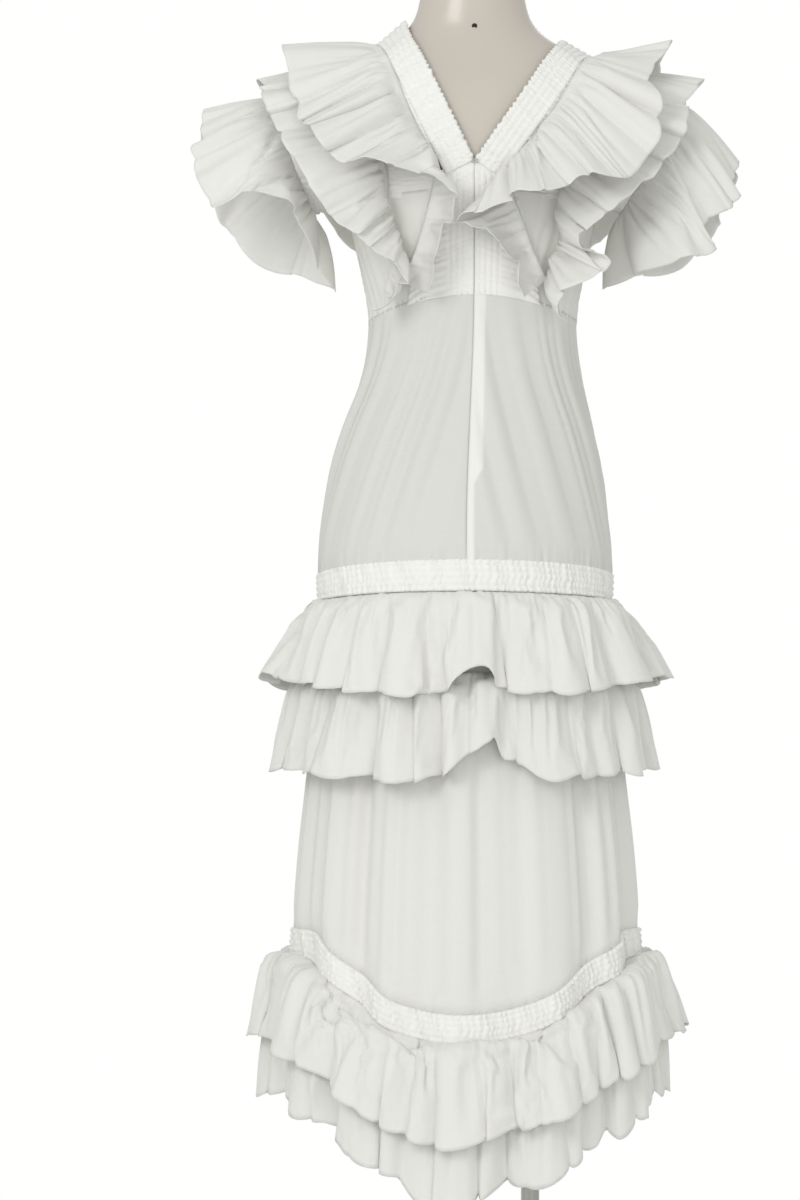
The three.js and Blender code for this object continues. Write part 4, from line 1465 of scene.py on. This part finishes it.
@dataclass(frozen=True)
class Ruffle:
    """A gathered strip: its sewn line and free edge, and how it is folded before it settles."""

    node: str
    sewn: Line
    free: Line
    wave: Callable[[np.ndarray], np.ndarray]  # its wide flutes
    count: int  # how many of them
    fullness: float  # the strip's cut length over its seam's
    bow: float = 4.0
    reach: float = 14.0
    side: int = 1
    closed: bool = False
    grid: tuple[int, int] = (480, 26)
    coarse: tuple[int, int] = (260, 13)
    seed: float = 0.0
    tucked: float = 0.0  # how far the sewn edge dips under the band above it
    fold: float = 7.5  # how deep its upright folds are
    rests_on: tuple[str, ...] = ("form_body",)
    middle: tuple[float, float, float] | None = None

    def seam_length(self) -> float:
        """The length of the sewn line, in millimetres."""
        points = self.sewn(np.linspace(0.0, 1.0, 400))
        return float(np.linalg.norm(np.diff(points, axis=0), axis=1).sum())

    def folded(self, fine: bool) -> Surface:
        """The strip with its folds: gathers at the seam that merge into wide flutes at the free edge.

        Args:
            fine: whether the smallest gathers are there too.

        Returns:
            The surface.
        """
        seam = self.seam_length()

        def at(s: np.ndarray, t: np.ndarray) -> Points:
            """Points of the folded strip.

            Args:
                s: places along the strip, 0 to 1.
                t: places from its seam to its free edge, 0 to 1.

            Returns:
                Points in millimetres.
            """
            step = 4e-3
            start, end = self.sewn(s), self.free(s)
            s0, s1 = (s - step, s + step) if self.closed else (np.maximum(s - step, 0), np.minimum(s + step, 1))
            run = unit(0.5 * (self.sewn(s1) + self.free(s1) - self.sewn(s0) - self.free(s0)))
            ends = 1.0 if self.closed else ease(s, 0, 0.05) * ease(1 - s, 0, 0.05)
            along, wide, turned = seam * s, self.wave(s), self.wave(s + 0.25 / self.count)

            def gathers(pitch: float, seed: float) -> np.ndarray:
                """Folds of one pitch, which die away at open ends."""
                return ends * looped(lambda x: pleats(x, pitch, self.seed + seed), along, seam, self.closed)

            folds = gathers(34.0, 1.0)
            clear = ease(t, 0.03, 0.13) if self.tucked else 1.0
            fall = (end - start) * (1 + (0.03 * wide + 0.04 * folds + 0.02 * gathers(52.0, 3.0)) * t)[:, None]
            out = unit(np.cross(fall, run)) * self.side
            stand = self.bow * np.sin(math.pi * t) + self.reach * wide * t**1.15
            stand += self.fold * folds * ease(t, 0.02, 0.32) * (1 - 0.2 * t)
            stand += 3.0 * gathers(15.0, 2.0) * clear * ease(t, 0.0, 0.1) * (1 - 0.65 * ease(t, 0.3, 1.0))
            stand -= self.tucked * (1 - ease(t, 0.0, 0.22))
            if fine:
                stand += 1.5 * gathers(6.8, 0.0) * clear * ease(t, 0.0, 0.04) * (1 - ease(t, 0.1, 0.5))
            bulge = -0.8 * self.reach * wide * turned * t**1.2 - 0.7 * self.fold * folds * t
            return start + fall * t[:, None] + out * stand[:, None] + run * bulge[:, None]

        return at

    def make(self, shop: Workshop, settling: Settling) -> Surface:
        """Settles the strip, sews it, and returns its finished surface.

        Args:
            shop: where pieces are made.
            settling: the simulation that its strips go through.

        Returns:
            The surface.
        """
        moved = None
        seam = self.seam_length()

        def relaxed(u: np.ndarray, v: np.ndarray) -> Points:
            """Where the strip lies before it is gathered."""
            fall = np.linalg.norm(self.free(u) - self.sewn(u), axis=1)
            return cone(u, seam * mix(1.0, self.fullness, ease(v, 0.0, 0.8)), fall * v, 4.0)

        moved = settling.run(shop, f"{self.node}_coarse", self.folded(False), self.coarse, self.closed, relaxed)
        folded = self.folded(True)

        def settled(u: np.ndarray, v: np.ndarray) -> Points:
            """The folded strip, moved as it settled."""
            return folded(u, v) + moved(u, v) if moved else folded(u, v)

        places = np.linspace(0, 1, 99)
        drop = float(np.linalg.norm(self.free(places) - self.sewn(places), axis=1).mean())
        flat = (self.seam_length() * self.fullness, drop)
        u, v = np.linspace(0.05, 0.95, 19), np.full(19, 0.5)
        points, (square, _) = folded(u, v), normals(folded, u, v, self.closed)
        away = points - (np.array(self.middle) if self.middle else points * (0.0, 0.0, 1.0))
        flip = bool((square * away).sum() < 0)
        piece = shop.sheet(f"{self.node}_gathered", settled, self.grid, flat, self.closed, flip)
        shop.finish(piece, "cotton", "hemmed", (self.node,), CLOTH)
        list(self.rests_on)
        made = sum(polygon.area for polygon in piece.data.polygons) / MM**2
        log.info("%s: flat %.0f by %.0f mm, holds %.2f of its cloth, %d faces", piece.name, *flat,
                 made / (flat[0] * flat[1]), len(piece.data.polygons))
        return settled


# ---- Skirt ------------------------------------------------------------------------------------------


def hip_top(degrees: np.ndarray) -> np.ndarray:
    """Height of the hip band's top seam."""
    return 838.0 + 18.0 * np.cos(np.radians(degrees))


def hip_foot(degrees: np.ndarray) -> np.ndarray:
    """Height of the hip band's lower seam."""
    return 806.0 + 13.0 * np.cos(np.radians(degrees))


def hem_top(degrees: np.ndarray) -> np.ndarray:
    """Height of the hem band's top seam: high at the sides, deepest left of the centre back."""
    dip = 84 * bump(degrees, -8, 62) + 34 * bump(degrees, 34, 44) + 52 * bump(degrees, 172, 74)
    return 434.0 - dip


def sideness(degrees: np.ndarray) -> np.ndarray:
    """1 at the sides and 0 at the centre back and front."""
    return np.sin(np.radians(degrees)) ** 2


def lifted(degrees: np.ndarray, low: float, peak: float, high: float) -> np.ndarray:
    """1 where a hem is caught up at its peak angle, falling away at its own rate on either side.

    Args:
        degrees: angles round the skirt.
        low: where the lift starts.
        peak: where it is highest.
        high: where it ends.

    Returns:
        Values from 0 to 1.
    """
    turned = (degrees + 180.0) % 360.0 - 180.0
    return ease(turned, low, peak) * (1 - ease(turned, peak, high))


def skirt_point(degrees: np.ndarray, z: np.ndarray, off: np.ndarray | float) -> Points:
    """Points of the lower skirt, whose upright folds grow from the hip band down."""
    depth = 7.0 * ease(hip_foot(degrees) - z, 0.0, 300.0)
    return BODY.point(degrees, z, off + depth * flutes(13, 1.3, False)(degrees / 360.0))


@dataclass(frozen=True)
class Tier:
    """One ruffle round the skirt."""

    node: str
    sewn: Callable[[np.ndarray], np.ndarray]
    drop: Callable[[np.ndarray], np.ndarray]
    flare: Callable[[np.ndarray], np.ndarray]
    count: int
    phase: float
    reach: float
    off: float
    fullness: float
    lap: float = 3.0  # how far its sewn edge runs up under the band

    def ruffle(self) -> Ruffle:
        """The gathered strip that this tier is cut as.

        Returns:
            The ruffle.
        """

        def sewn(s: np.ndarray) -> Points:
            """The sewn line, which runs up under the band."""
            degrees = 360.0 * s
            return skirt_point(degrees, self.sewn(degrees) + self.lap, self.off)

        def free(s: np.ndarray) -> Points:
            """The free edge, flared out."""
            degrees = 360.0 * s
            return BODY.point(degrees, self.sewn(degrees) - self.drop(degrees), self.off + self.flare(degrees))

        return Ruffle(
            self.node, sewn, free, flutes(self.count, self.phase, False), self.count, self.fullness,
            reach=self.reach, closed=True, seed=self.phase + self.off, rests_on=("skirt_lower",),
            tucked=self.off - ON_BODY + 0.6, fold=9.5,
        )


@dataclass
class Skirt:
    """The fitted hip section, the bands, the long lower skirt and its four ruffles."""

    shop: Workshop
    settling: Settling
    tuck: float = 4.0

    def build(self) -> None:
        """Makes every piece of the skirt, from the inside out."""
        self.upper_panel("skirt_back_L", -90.0, 0.0, (80, 76))
        self.upper_panel("skirt_back_R", 0.0, 90.0, (80, 76))
        self.upper_panel("skirt_front", 90.0, 270.0, (90, 44))
        self.band("hip_band", hip_foot, hip_top, (600, 16), 0.0)
        self.lower_skirt()
        self.band("hem_band", lambda d: hem_top(d) - 33.0, hem_top, (700, 16), 1.0)
        blocks = [self.settling.block(self.shop, "skirt_block", self.skirt_block, (96, 30))]
        for tier in self.tiers():
            settled = tier.ruffle().make(self.shop, self.settling)
            blocks.append(self.settling.block(self.shop, f"{tier.node}_block", settled, (200, 8)))
        for block in blocks:
            bpy.data.objects.remove(block)

    def skirt_block(self, u: np.ndarray, v: np.ndarray) -> Points:
        """The skirt's body from below the hem to the waist."""
        return skirt_point(360.0 * u, mix(180.0, 1120.0, v), ON_BODY + 0.8)

    def tiers(self) -> list[Tier]:
        """The four ruffles, inner ones before the ones that lie on them.

        Returns:
            The tiers.
        """
        return [
            Tier("hem_ruffle_lower", lambda d: hem_top(d) - 32.0,
                 lambda d: 164 - 10 * sideness(d) + 18 * bump(d, -6, 16),
                 lambda d: 22 + 6 * sideness(d), 13, 2.2, 10.0, ON_PANEL + 1.0, 1.35),
            Tier("hem_ruffle_upper", lambda d: hem_top(d) - 30.0,
                 lambda d: 112 - 14 * sideness(d) + 8 * bump(d, -12, 30),
                 lambda d: 34 + 10 * sideness(d), 13, 2.2, 12.0, ON_PANEL + 8.5, 1.4),
            Tier("hip_ruffle_lower", lambda d: 728.0 + 0 * d,
                 lambda d: 122 - 10 * sideness(d) - 26 * lifted(d, -12, 9, 13) - 22 * lifted(d, -9, 10, 30),
                 lambda d: 30 + 9 * sideness(d), 13, 0.6, 11.0, ON_PANEL + 3.0, 1.4),
            Tier("hip_ruffle_upper", lambda d: hip_foot(d) - 1.0,
                 lambda d: 118 - 34 * sideness(d) - 20 * lifted(d, -5, 4, 9) - 15 * lifted(d, -13, 3, 20),
                 lambda d: 44 + 17 * sideness(d), 13, 0.6, 13.0, ON_PANEL + 0.6, 1.45),
        ]

    def upper_panel(self, node: str, low: float, high: float, grid: tuple[int, int]) -> None:
        """A panel of the fitted section, with soft pulls that run from the waist out to the hips.

        Args:
            node: the solid that it replaces.
            low: the angle of the panel's first edge.
            high: the angle of its last edge.
            grid: columns along u and rows along v.
        """

        def base(u: np.ndarray, v: np.ndarray) -> Points:
            """The panel from the hip band to the waist seam."""
            degrees = mix(low, high, u)
            return BODY.point(degrees, mix(hip_top(degrees) - self.tuck, waist(degrees) + 1.0, v), ON_BODY)

        def relief(along: np.ndarray, down: np.ndarray, u: np.ndarray, v: np.ndarray) -> np.ndarray:
            """Slanting pulls, short gathers at the hips, and the seams drawn in.

            Args:
                along: millimetres along the piece.
                down: millimetres across it.
                u: places along the piece, 0 to 1.
                v: places across it, 0 to 1.

            Returns:
                Millimetres of height.
            """
            degrees = mix(low, high, u)
            slant = 2.5 * degrees - 0.22 * (320.0 - down) * np.sign(np.sin(np.radians(degrees)))
            pulls = (2.4 * crimp(slant, 44.0, 0.8) + 1.4 * pleats(slant, 23.0, 1.9)) * np.sin(math.pi * v) ** 0.6
            gathers = 1.3 * crimp(2.5 * degrees, 8.0, 0.2) * (1 - ease(v, 0.02, 0.10))
            seam = 0.9 * (1 - ease(np.minimum(u, 1 - u) * along.max(), 0.0, 1.6))
            pulls *= ease(np.minimum(u, 1 - u) * along.max(), 0.0, 18.0)
            return pulls + gathers - seam + 0.35 * doubled(along, down, u, v)

        def doubled(along: np.ndarray, down: np.ndarray, u: np.ndarray, v: np.ndarray) -> np.ndarray:
            """Where the zip tape or the seam allowance lies behind the cloth.

            Args:
                along: millimetres along the piece.
                down: millimetres across it.
                u: places along the piece, 0 to 1; not used.
                v: places across it, 0 to 1; not used.

            Returns:
                Values from 0 to 1.
            """
            x = along if node == "skirt_back_R" else 1e3 + 0 * along
            wide = mix(8.0, 17.0, ease(down, 90.0, 112.0))
            return 1 - ease(x, wide - 0.8, wide + 0.8)

        self.shop.sew(Cloth(
            f"{node}_panel", (node,), "voile", "voile", base, grid, relief, (SKIRT_GATHER, 1.0), Held.HUNG,
            ("form_body",), doubled=doubled,
        ))

    def band(self, node: str, foot: Callable, top: Callable, grid: tuple[int, int], depth: float) -> None:
        """A shirred band all round the skirt.

        Args:
            node: the solid that it replaces.
            foot: heights of its lower seam.
            top: heights of its upper seam.
            grid: columns along u and rows along v.
            depth: 0 on the hips, or 1 where it follows the folds of the skirt.
        """
        shirring = Shirring(5, pitch=6.4, puff=1.7, seed=depth)

        def base(u: np.ndarray, v: np.ndarray) -> Points:
            """The band between its seams.

            Args:
                u: places along the piece, 0 to 1.
                v: places across it, 0 to 1.

            Returns:
                Points in millimetres.
            """
            degrees = 360.0 * u
            z = mix(foot(degrees), top(degrees) + 1.0, v)
            return skirt_point(degrees, z, ON_BODY + 1.6) if depth else BODY.point(degrees, z, ON_BODY + 0.8)

        def relief(along: np.ndarray, down: np.ndarray, u: np.ndarray, v: np.ndarray) -> np.ndarray:
            """Puckers, a frilled top and edges rolled in."""
            rolled = 2.6 * (1 - ease(1 - v, 0.0, 0.07)) + 1.6 * (1 - ease(v, 0.0, 0.06))
            return shirring.relief(along, v) + 0.8 * ease(v, 0.86, 1.0) * crimp(along, 6.4, 3.0) - rolled

        self.shop.sew(Cloth(
            f"{node}_shirred", (node,), "shirring", "shirred", base, grid, relief,
            (SHIRRED_GATHER, 1.0), Held.STRETCHED, ("form_body",), True,
        ))

    def lower_skirt(self) -> None:
        """The long straight skirt between the hip band and the hem band."""

        def base(u: np.ndarray, v: np.ndarray) -> Points:
            """The skirt from the hem band to the hip band."""
            degrees = 360.0 * u
            return skirt_point(degrees, mix(hem_top(degrees) - self.tuck, hip_foot(degrees), v), ON_BODY)

        def relief(along: np.ndarray, down: np.ndarray, u: np.ndarray, v: np.ndarray) -> np.ndarray:
            """Long upright folds, and short gathers at the foot."""
            folds = (3.4 * crimp(along, 41.0, 1.4) + 1.7 * pleats(along, 24.0, 0.4)) * ease(1 - v, 0.0, 0.4)
            return folds * ease(v, 0.0, 0.1) + 0.9 * crimp(along, 8.5, 0.9) * (1 - ease(v, 0.01, 0.10)) - 0.6

        self.shop.sew(Cloth(
            "skirt_lower_sheet", ("skirt_lower",), "voile", "skirt", base, (280, 26), relief,
            (SKIRT_GATHER, 1.0), Held.HUNG, ("hip_band_shirred",), True,
        ))


# ---- Sleeves ----------------------------------------------------------------------------------------


@dataclass(frozen=True)
class Cuff:
    """The ring round the upper arm where a sleeve's shirred cuff ends."""

    centre: tuple[float, float, float]
    lean: tuple[float, float]
    half: float
    depth: float
    side: Side
    flounce: tuple[tuple[float, float, float], ...]  # the flounce's free edge
    width: float = 22.0

    def point(self, turn: np.ndarray, along: np.ndarray | float) -> Points:
        """Points of the ring: turn 0 is its top and 0.25 its back, and `along` moves them outwards.

        Args:
            turn: places round the ring, 0 to 1.
            along: millimetres outwards.

        Returns:
            Points in millimetres.
        """
        angle = 2.0 * math.pi * np.asarray(turn, float)
        x, z = self.lean
        out = np.array((-z, 0.0, x)) if self.side is Side.LEFT else np.array((z, 0.0, -x))
        up = np.array((x, 0.0, z))
        ring = np.outer(self.half * np.cos(angle), up) + np.outer(-self.depth * np.sin(angle), (0.0, 1.0, 0.0))
        return np.array(self.centre) + ring + np.outer(np.broadcast_to(along, angle.shape), out)


CUFFS = {
    Side.LEFT: Cuff(
        (-208, 0, 1320), (-0.333, 0.943), 70, 54, Side.LEFT,
        (
            (-308, 0, 1388), (-317, -44, 1362), (-318, -80, 1322), (-299, -98, 1262), (-240, -104, 1278),
            (-196, -62, 1240), (-152, -8, 1174), (-196, 48, 1186), (-256, 76, 1210), (-298, 84, 1262),
            (-314, 62, 1330), (-313, 34, 1372),
        ),
    ),
    Side.RIGHT: Cuff(
        (206, 0, 1317), (0.51, 0.86), 71, 54, Side.RIGHT,
        (
            (310, 0, 1325), (309, -46, 1300), (299, -80, 1268), (266, -82, 1240), (278, -98, 1214),
            (224, -96, 1194), (152, -10, 1172), (190, 48, 1186), (248, 78, 1204), (284, 84, 1242),
            (304, 64, 1284), (311, 32, 1312),
        ),
    ),
}


@dataclass
class Sleeve:
    """One short sleeve: its cap, its shirred cuff and its bell flounce."""

    shop: Workshop
    settling: Settling
    side: Side

    def build(self) -> None:
        """Makes the three pieces."""
        self.cap()
        self.cuff()
        self.flounce()

    def armhole(self) -> Line:
        """The seam along the yoke's outer edge and under the arm.

        Returns:
            The line.
        """
        sign = self.side.sign
        pairs, shoulder = EDGES[self.side].yoke_outer
        off, clear = ON_BODY - 1.4, sign * 3.8

        def on_half(half: Half) -> list[Points]:
            """The yoke's outer edge on one half, from the shoulder down."""
            return [BODY.at(x + clear, z, half, off)[0] for x, z in pairs[1:]][::-1]

        def low(half: Half) -> list[Points]:
            """Two points under the arm on one half."""
            return [BODY.at(sign * 97.0, SIDE_TOP + 3.2, half, off)[0],
                    BODY.at(sign * 124.0, SIDE_TOP - 0.5, half, off)[0]]

        top = np.array((shoulder + clear, 0.0, BODY.shoulder_height(shoulder) + off - 2.5))
        under = BODY.point(np.array([sign * 90.0]), np.array([SIDE_TOP - 3.5]), ON_BODY + 0.4)[0]
        round_back = [top, *on_half(Half.BACK), *low(Half.BACK), under]
        return through([*round_back, *low(Half.FRONT)[::-1], *on_half(Half.FRONT)[::-1]], closed=True)

    def cap(self) -> None:
        """The cloth from the armhole to the cuff."""
        cuff, seam = CUFFS[self.side], self.armhole()

        def base(u: np.ndarray, v: np.ndarray) -> Points:
            """The cloth from the seam to the cuff."""
            return mix(seam(u), cuff.point(u, -cuff.width + 2.0), v[:, None])

        def relief(along: np.ndarray, down: np.ndarray, u: np.ndarray, v: np.ndarray) -> np.ndarray:
            """Soft gathers."""
            return (1.6 * crimp(along, 13.0, 0.6) + 1.4) * np.sin(math.pi * v) - 0.6

        node = f"sleeve_{self.side.value}"
        self.shop.sew(Cloth(
            f"{node}_cap", (node,), "voile", "skirt", base, (180, 16), relief, (CAP_GATHER, 1.0), Held.HUNG,
            ("form_body",), True, cuff.centre,
        ))

    def cuff(self) -> None:
        """The shirred ring round the arm."""
        cuff = CUFFS[self.side]
        shirring = Shirring(4, seed=2.0 * self.side.sign)

        def base(u: np.ndarray, v: np.ndarray) -> Points:
            """The ring of cloth."""
            return cuff.point(u, mix(-cuff.width, 2.0, v))

        def relief(along: np.ndarray, down: np.ndarray, u: np.ndarray, v: np.ndarray) -> np.ndarray:
            """Puckers."""
            return 0.6 + shirring.relief(along, v)

        node = f"cuff_{self.side.value}"
        self.shop.sew(Cloth(
            f"{node}_shirred", (node,), "shirring", "shirred", base, (260, 14), relief,
            (SHIRRED_GATHER, 1.0), Held.STRETCHED, (f"sleeve_{self.side.value}_cap",), True, cuff.centre,
        ))

    def flounce(self) -> None:
        """The bell flounce below the cuff."""
        cuff = CUFFS[self.side]
        Ruffle(
            f"flounce_{self.side.value}", lambda s: cuff.point(s, 1.6), through(cuff.flounce, closed=True),
            flutes(8, 0.4, False), 8, 1.6, bow=6.0, reach=7.0, fold=4.5, side=-self.side.sign, closed=True,
            grid=(300, 28), coarse=(150, 12), seed=3.0,
            rests_on=(f"cuff_{self.side.value}_shirred",), middle=cuff.centre,
        ).make(self.shop, self.settling)


# ---- Shoulder ruffles -------------------------------------------------------------------------------


@dataclass(frozen=True)
class ShoulderRuffle:
    """A ruffle from the back waist over the shoulder to the front waist.

    Each station has its sewn point, as (x, z) on the body or (x,) on top of the shoulder, and its free point.
    """

    node: str
    side: Side
    upper: bool
    back: tuple
    top: tuple
    front: tuple

    def ruffle(self) -> Ruffle:
        """The gathered strip.

        Returns:
            The ruffle.
        """
        inset = 0.0 if self.upper else -3.0 * self.side.sign
        off = ON_PANEL + (1.5 if self.upper else 2.0)
        sewn = over_shoulder([(p[0] + inset, p[1]) for p, _ in self.back], self.top[0][0] + inset, off,
                             [(p[0] + inset, p[1]) for p, _ in self.front[::-1]])
        free = through([p for _, p in (*self.back, self.top, *self.front)])
        return Ruffle(
            self.node, sewn, free, flutes(8, 0.9 if self.upper else 2.1), 8, 1.5, bow=6.0,
            reach=13.0 if self.upper else 10.0, side=self.side.sign, grid=(350, 30), coarse=(175, 15),
            seed=5.0 + self.side.sign + self.upper, tucked=off - 0.8,
        )


SHOULDER_RUFFLES = (
    ShoulderRuffle(
        "shoulder_ruffle_lower_L", Side.LEFT, False,
        (
            ((-92, 1162), (-130, -108, 1150)), ((-88, 1192), (-84, -128, 1170)),
            ((-90, 1222), (-96, -136, 1202)), ((-93, 1252), (-130, -140, 1222)),
            ((-95, 1288), (-164, -138, 1252)), ((-102, 1328), (-200, -128, 1310)),
            ((-113, 1368), (-230, -100, 1366)), ((-126, 1402), (-242, -58, 1402)),
        ),
        ((-140,), (-247, -4, 1424)),
        (
            ((-126, 1402), (-240, 56, 1402)), ((-112, 1362), (-220, 104, 1352)),
            ((-98, 1312), (-178, 136, 1286)), ((-93, 1262), (-130, 150, 1220)),
            ((-90, 1210), (-104, 146, 1176)), ((-92, 1164), (-112, 128, 1144)),
        ),
    ),
    ShoulderRuffle(
        "shoulder_ruffle_lower_R", Side.RIGHT, False,
        (
            ((92, 1160), (120, -106, 1134)), ((90, 1186), (94, -128, 1156)), ((91, 1208), (142, -134, 1182)),
            ((93, 1232), (156, -134, 1212)), ((95, 1258), (112, -146, 1230)), ((98, 1296), (154, -142, 1256)),
            ((110, 1338), (204, -132, 1302)), ((128, 1372), (236, -104, 1350)),
            ((144, 1396), (248, -62, 1394)),
        ),
        ((157,), (262, -8, 1420)),
        (
            ((144, 1396), (250, 52, 1396)), ((124, 1360), (228, 104, 1346)), ((104, 1312), (182, 136, 1284)),
            ((96, 1262), (134, 150, 1220)), ((92, 1210), (106, 146, 1176)), ((93, 1164), (114, 128, 1144)),
        ),
    ),
    ShoulderRuffle(
        "shoulder_ruffle_upper_L", Side.LEFT, True,
        (
            ((-73, 1168), (-66, -126, 1158)), ((-58, 1210), (-50, -150, 1206)),
            ((-47, 1250), (-38, -166, 1256)), ((-41, 1288), (-52, -172, 1306)),
            ((-50, 1320), (-100, -180, 1306)), ((-61, 1348), (-146, -176, 1312)),
            ((-73, 1378), (-176, -160, 1338)), ((-85, 1406), (-202, -130, 1378)),
            ((-96, 1432), (-214, -78, 1424)),
        ),
        ((-107,), (-214, -12, 1466)),
        (
            ((-96, 1432), (-208, 62, 1440)), ((-83, 1402), (-190, 118, 1398)),
            ((-66, 1362), (-158, 158, 1350)), ((-50, 1318), (-112, 182, 1306)),
            ((-44, 1270), (-72, 188, 1252)), ((-52, 1220), (-62, 178, 1204)), ((-70, 1168), (-78, 158, 1156)),
        ),
    ),
    ShoulderRuffle(
        "shoulder_ruffle_upper_R", Side.RIGHT, True,
        (
            ((74, 1168), (68, -126, 1156)), ((60, 1205), (52, -148, 1194)), ((48, 1240), (20, -164, 1234)),
            ((38, 1276), (-18, -166, 1254)), ((42, 1304), (24, -186, 1276)), ((56, 1326), (72, -198, 1270)),
            ((68, 1344), (112, -194, 1296)), ((84, 1366), (156, -186, 1286)), ((98, 1388), (190, -166, 1320)),
            ((112, 1410), (214, -128, 1364)), ((124, 1428), (204, -74, 1422)),
        ),
        ((136,), (226, -14, 1466)),
        (
            ((124, 1428), (216, 56, 1430)), ((104, 1398), (196, 112, 1384)), ((82, 1362), (162, 154, 1340)),
            ((56, 1318), (114, 182, 1300)), ((44, 1270), (74, 188, 1248)), ((52, 1220), (62, 178, 1202)),
            ((70, 1168), (80, 158, 1156)),
        ),
    ),
)


def make_shoulder_ruffles(shop: Workshop, settling: Settling) -> None:
    """Makes the lower ruffles, then the upper ones that lie on them."""
    for made in SHOULDER_RUFFLES:
        made.ruffle().make(shop, settling)


# ---- Floor, light and camera ------------------------------------------------------------------------


@dataclass
class Studio:
    """A pale floor, white surroundings, soft light, and the camera straight behind the dress."""

    view_height: float = 0.810
    view_x: float = -0.081
    view_tall: float = 1.38
    distance: float = 4.6
    floor_half: float = 0.74
    lights: tuple[tuple[str, tuple[float, float, float], float, float], ...] = (
        ("key", (-1.7, -2.8, 2.1), 1.3, 31.0),
        ("fill", (0.8, -3.7, 1.0), 2.0, 23.0),
        ("far", (0.6, 3.0, 2.4), 1.6, 12.0),
    )

    def build(self) -> None:
        """Makes the floor, the lights and the camera."""
        self.floor()
        for name, place, size, power in self.lights:
            self.light(name, place, size, power)
        world = bpy.data.worlds.new("studio")
        world.use_nodes = True
        nodes, links = world.node_tree.nodes, world.node_tree.links
        around = nodes["Background"]
        around.inputs["Color"].default_value = (1.0, 1.0, 0.995, 1.0)
        seen = nodes.new("ShaderNodeLightPath")
        strength = nodes.new("ShaderNodeMapRange")
        strength.inputs["To Min"].default_value = 0.70
        strength.inputs["To Max"].default_value = 1.0
        links.new(seen.outputs["Is Camera Ray"], strength.inputs["Value"])
        links.new(strength.outputs["Result"], around.inputs["Strength"])
        bpy.context.scene.world = world
        bpy.context.scene.view_settings.view_transform = "Standard"
        self.camera()

    def floor(self) -> None:
        """The pale floor."""
        bm = bmesh.new()
        bmesh.ops.create_grid(bm, x_segments=1, y_segments=1, size=self.floor_half)
        bmesh.ops.translate(bm, vec=(0.0, 0.0, -0.0005), verts=bm.verts)
        mesh = bpy.data.meshes.new("studio_floor")
        bm.to_mesh(mesh)
        bm.free()
        floor = bpy.data.objects.new("studio_floor", mesh)
        bpy.context.scene.collection.objects.link(floor)
        paper = bpy.data.materials.new("paper")
        paper.use_nodes = True
        shader = paper.node_tree.nodes["Principled BSDF"]
        shader.inputs["Base Color"].default_value = (0.95, 0.95, 0.945, 1.0)
        shader.inputs["Roughness"].default_value = 0.9
        shader.inputs["Specular IOR Level"].default_value = 0.1
        mesh.materials.append(paper)

    def light(self, name: str, place: tuple[float, float, float], size: float, power: float) -> None:
        """Hangs a square soft light aimed at the middle of the dress.

        Args:
            name: the light's name.
            place: where it hangs, in metres.
            size: its side, in metres.
            power: its watts.
        """
        data = bpy.data.lights.new(name, "AREA")
        data.size = size
        data.energy = power
        lamp = bpy.data.objects.new(name, data)
        lamp.location = place
        aim = Vector((0.0, 0.0, 0.9)) - Vector(place)
        lamp.rotation_euler = aim.to_track_quat("-Z", "Y").to_euler()
        bpy.context.scene.collection.objects.link(lamp)

    def camera(self) -> None:
        """A level camera with a long lens."""
        data = bpy.data.cameras.new("camera")
        data.sensor_width = 36.0
        data.lens = 36.0 * self.distance / self.view_tall
        data.clip_end = 60.0
        camera = bpy.data.objects.new("camera", data)
        camera.location = (self.view_x, -self.distance, self.view_height)
        camera.rotation_euler = (math.radians(90.0), 0.0, 0.0)
        bpy.context.scene.collection.objects.link(camera)
        bpy.context.scene.camera = camera


def main() -> None:
    """Loads the frame, builds the dress on its form, and hands the scene over."""
    logging.basicConfig(level=logging.INFO, format="%(name)s %(message)s")
    for thing in list(bpy.data.objects):
        bpy.data.objects.remove(thing)
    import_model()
    Studio().build()
    low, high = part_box("base_plate")
    middle = (low + high) / 2 / MM
    shop = Workshop(Vector((middle.x - 66.0, middle.y, 0.0)), make_finishes())
    DressForm(shop).build()
    Bodice(shop).build()
    Skirt(shop, Settling()).build()
    for side in Side:
        Sleeve(shop, Settling(hold=0.18), side).build()
    make_shoulder_ruffles(shop, Settling(hold=0.16))
    log.info("the dress is sewn")


if __name__ == "__main__":
    main()
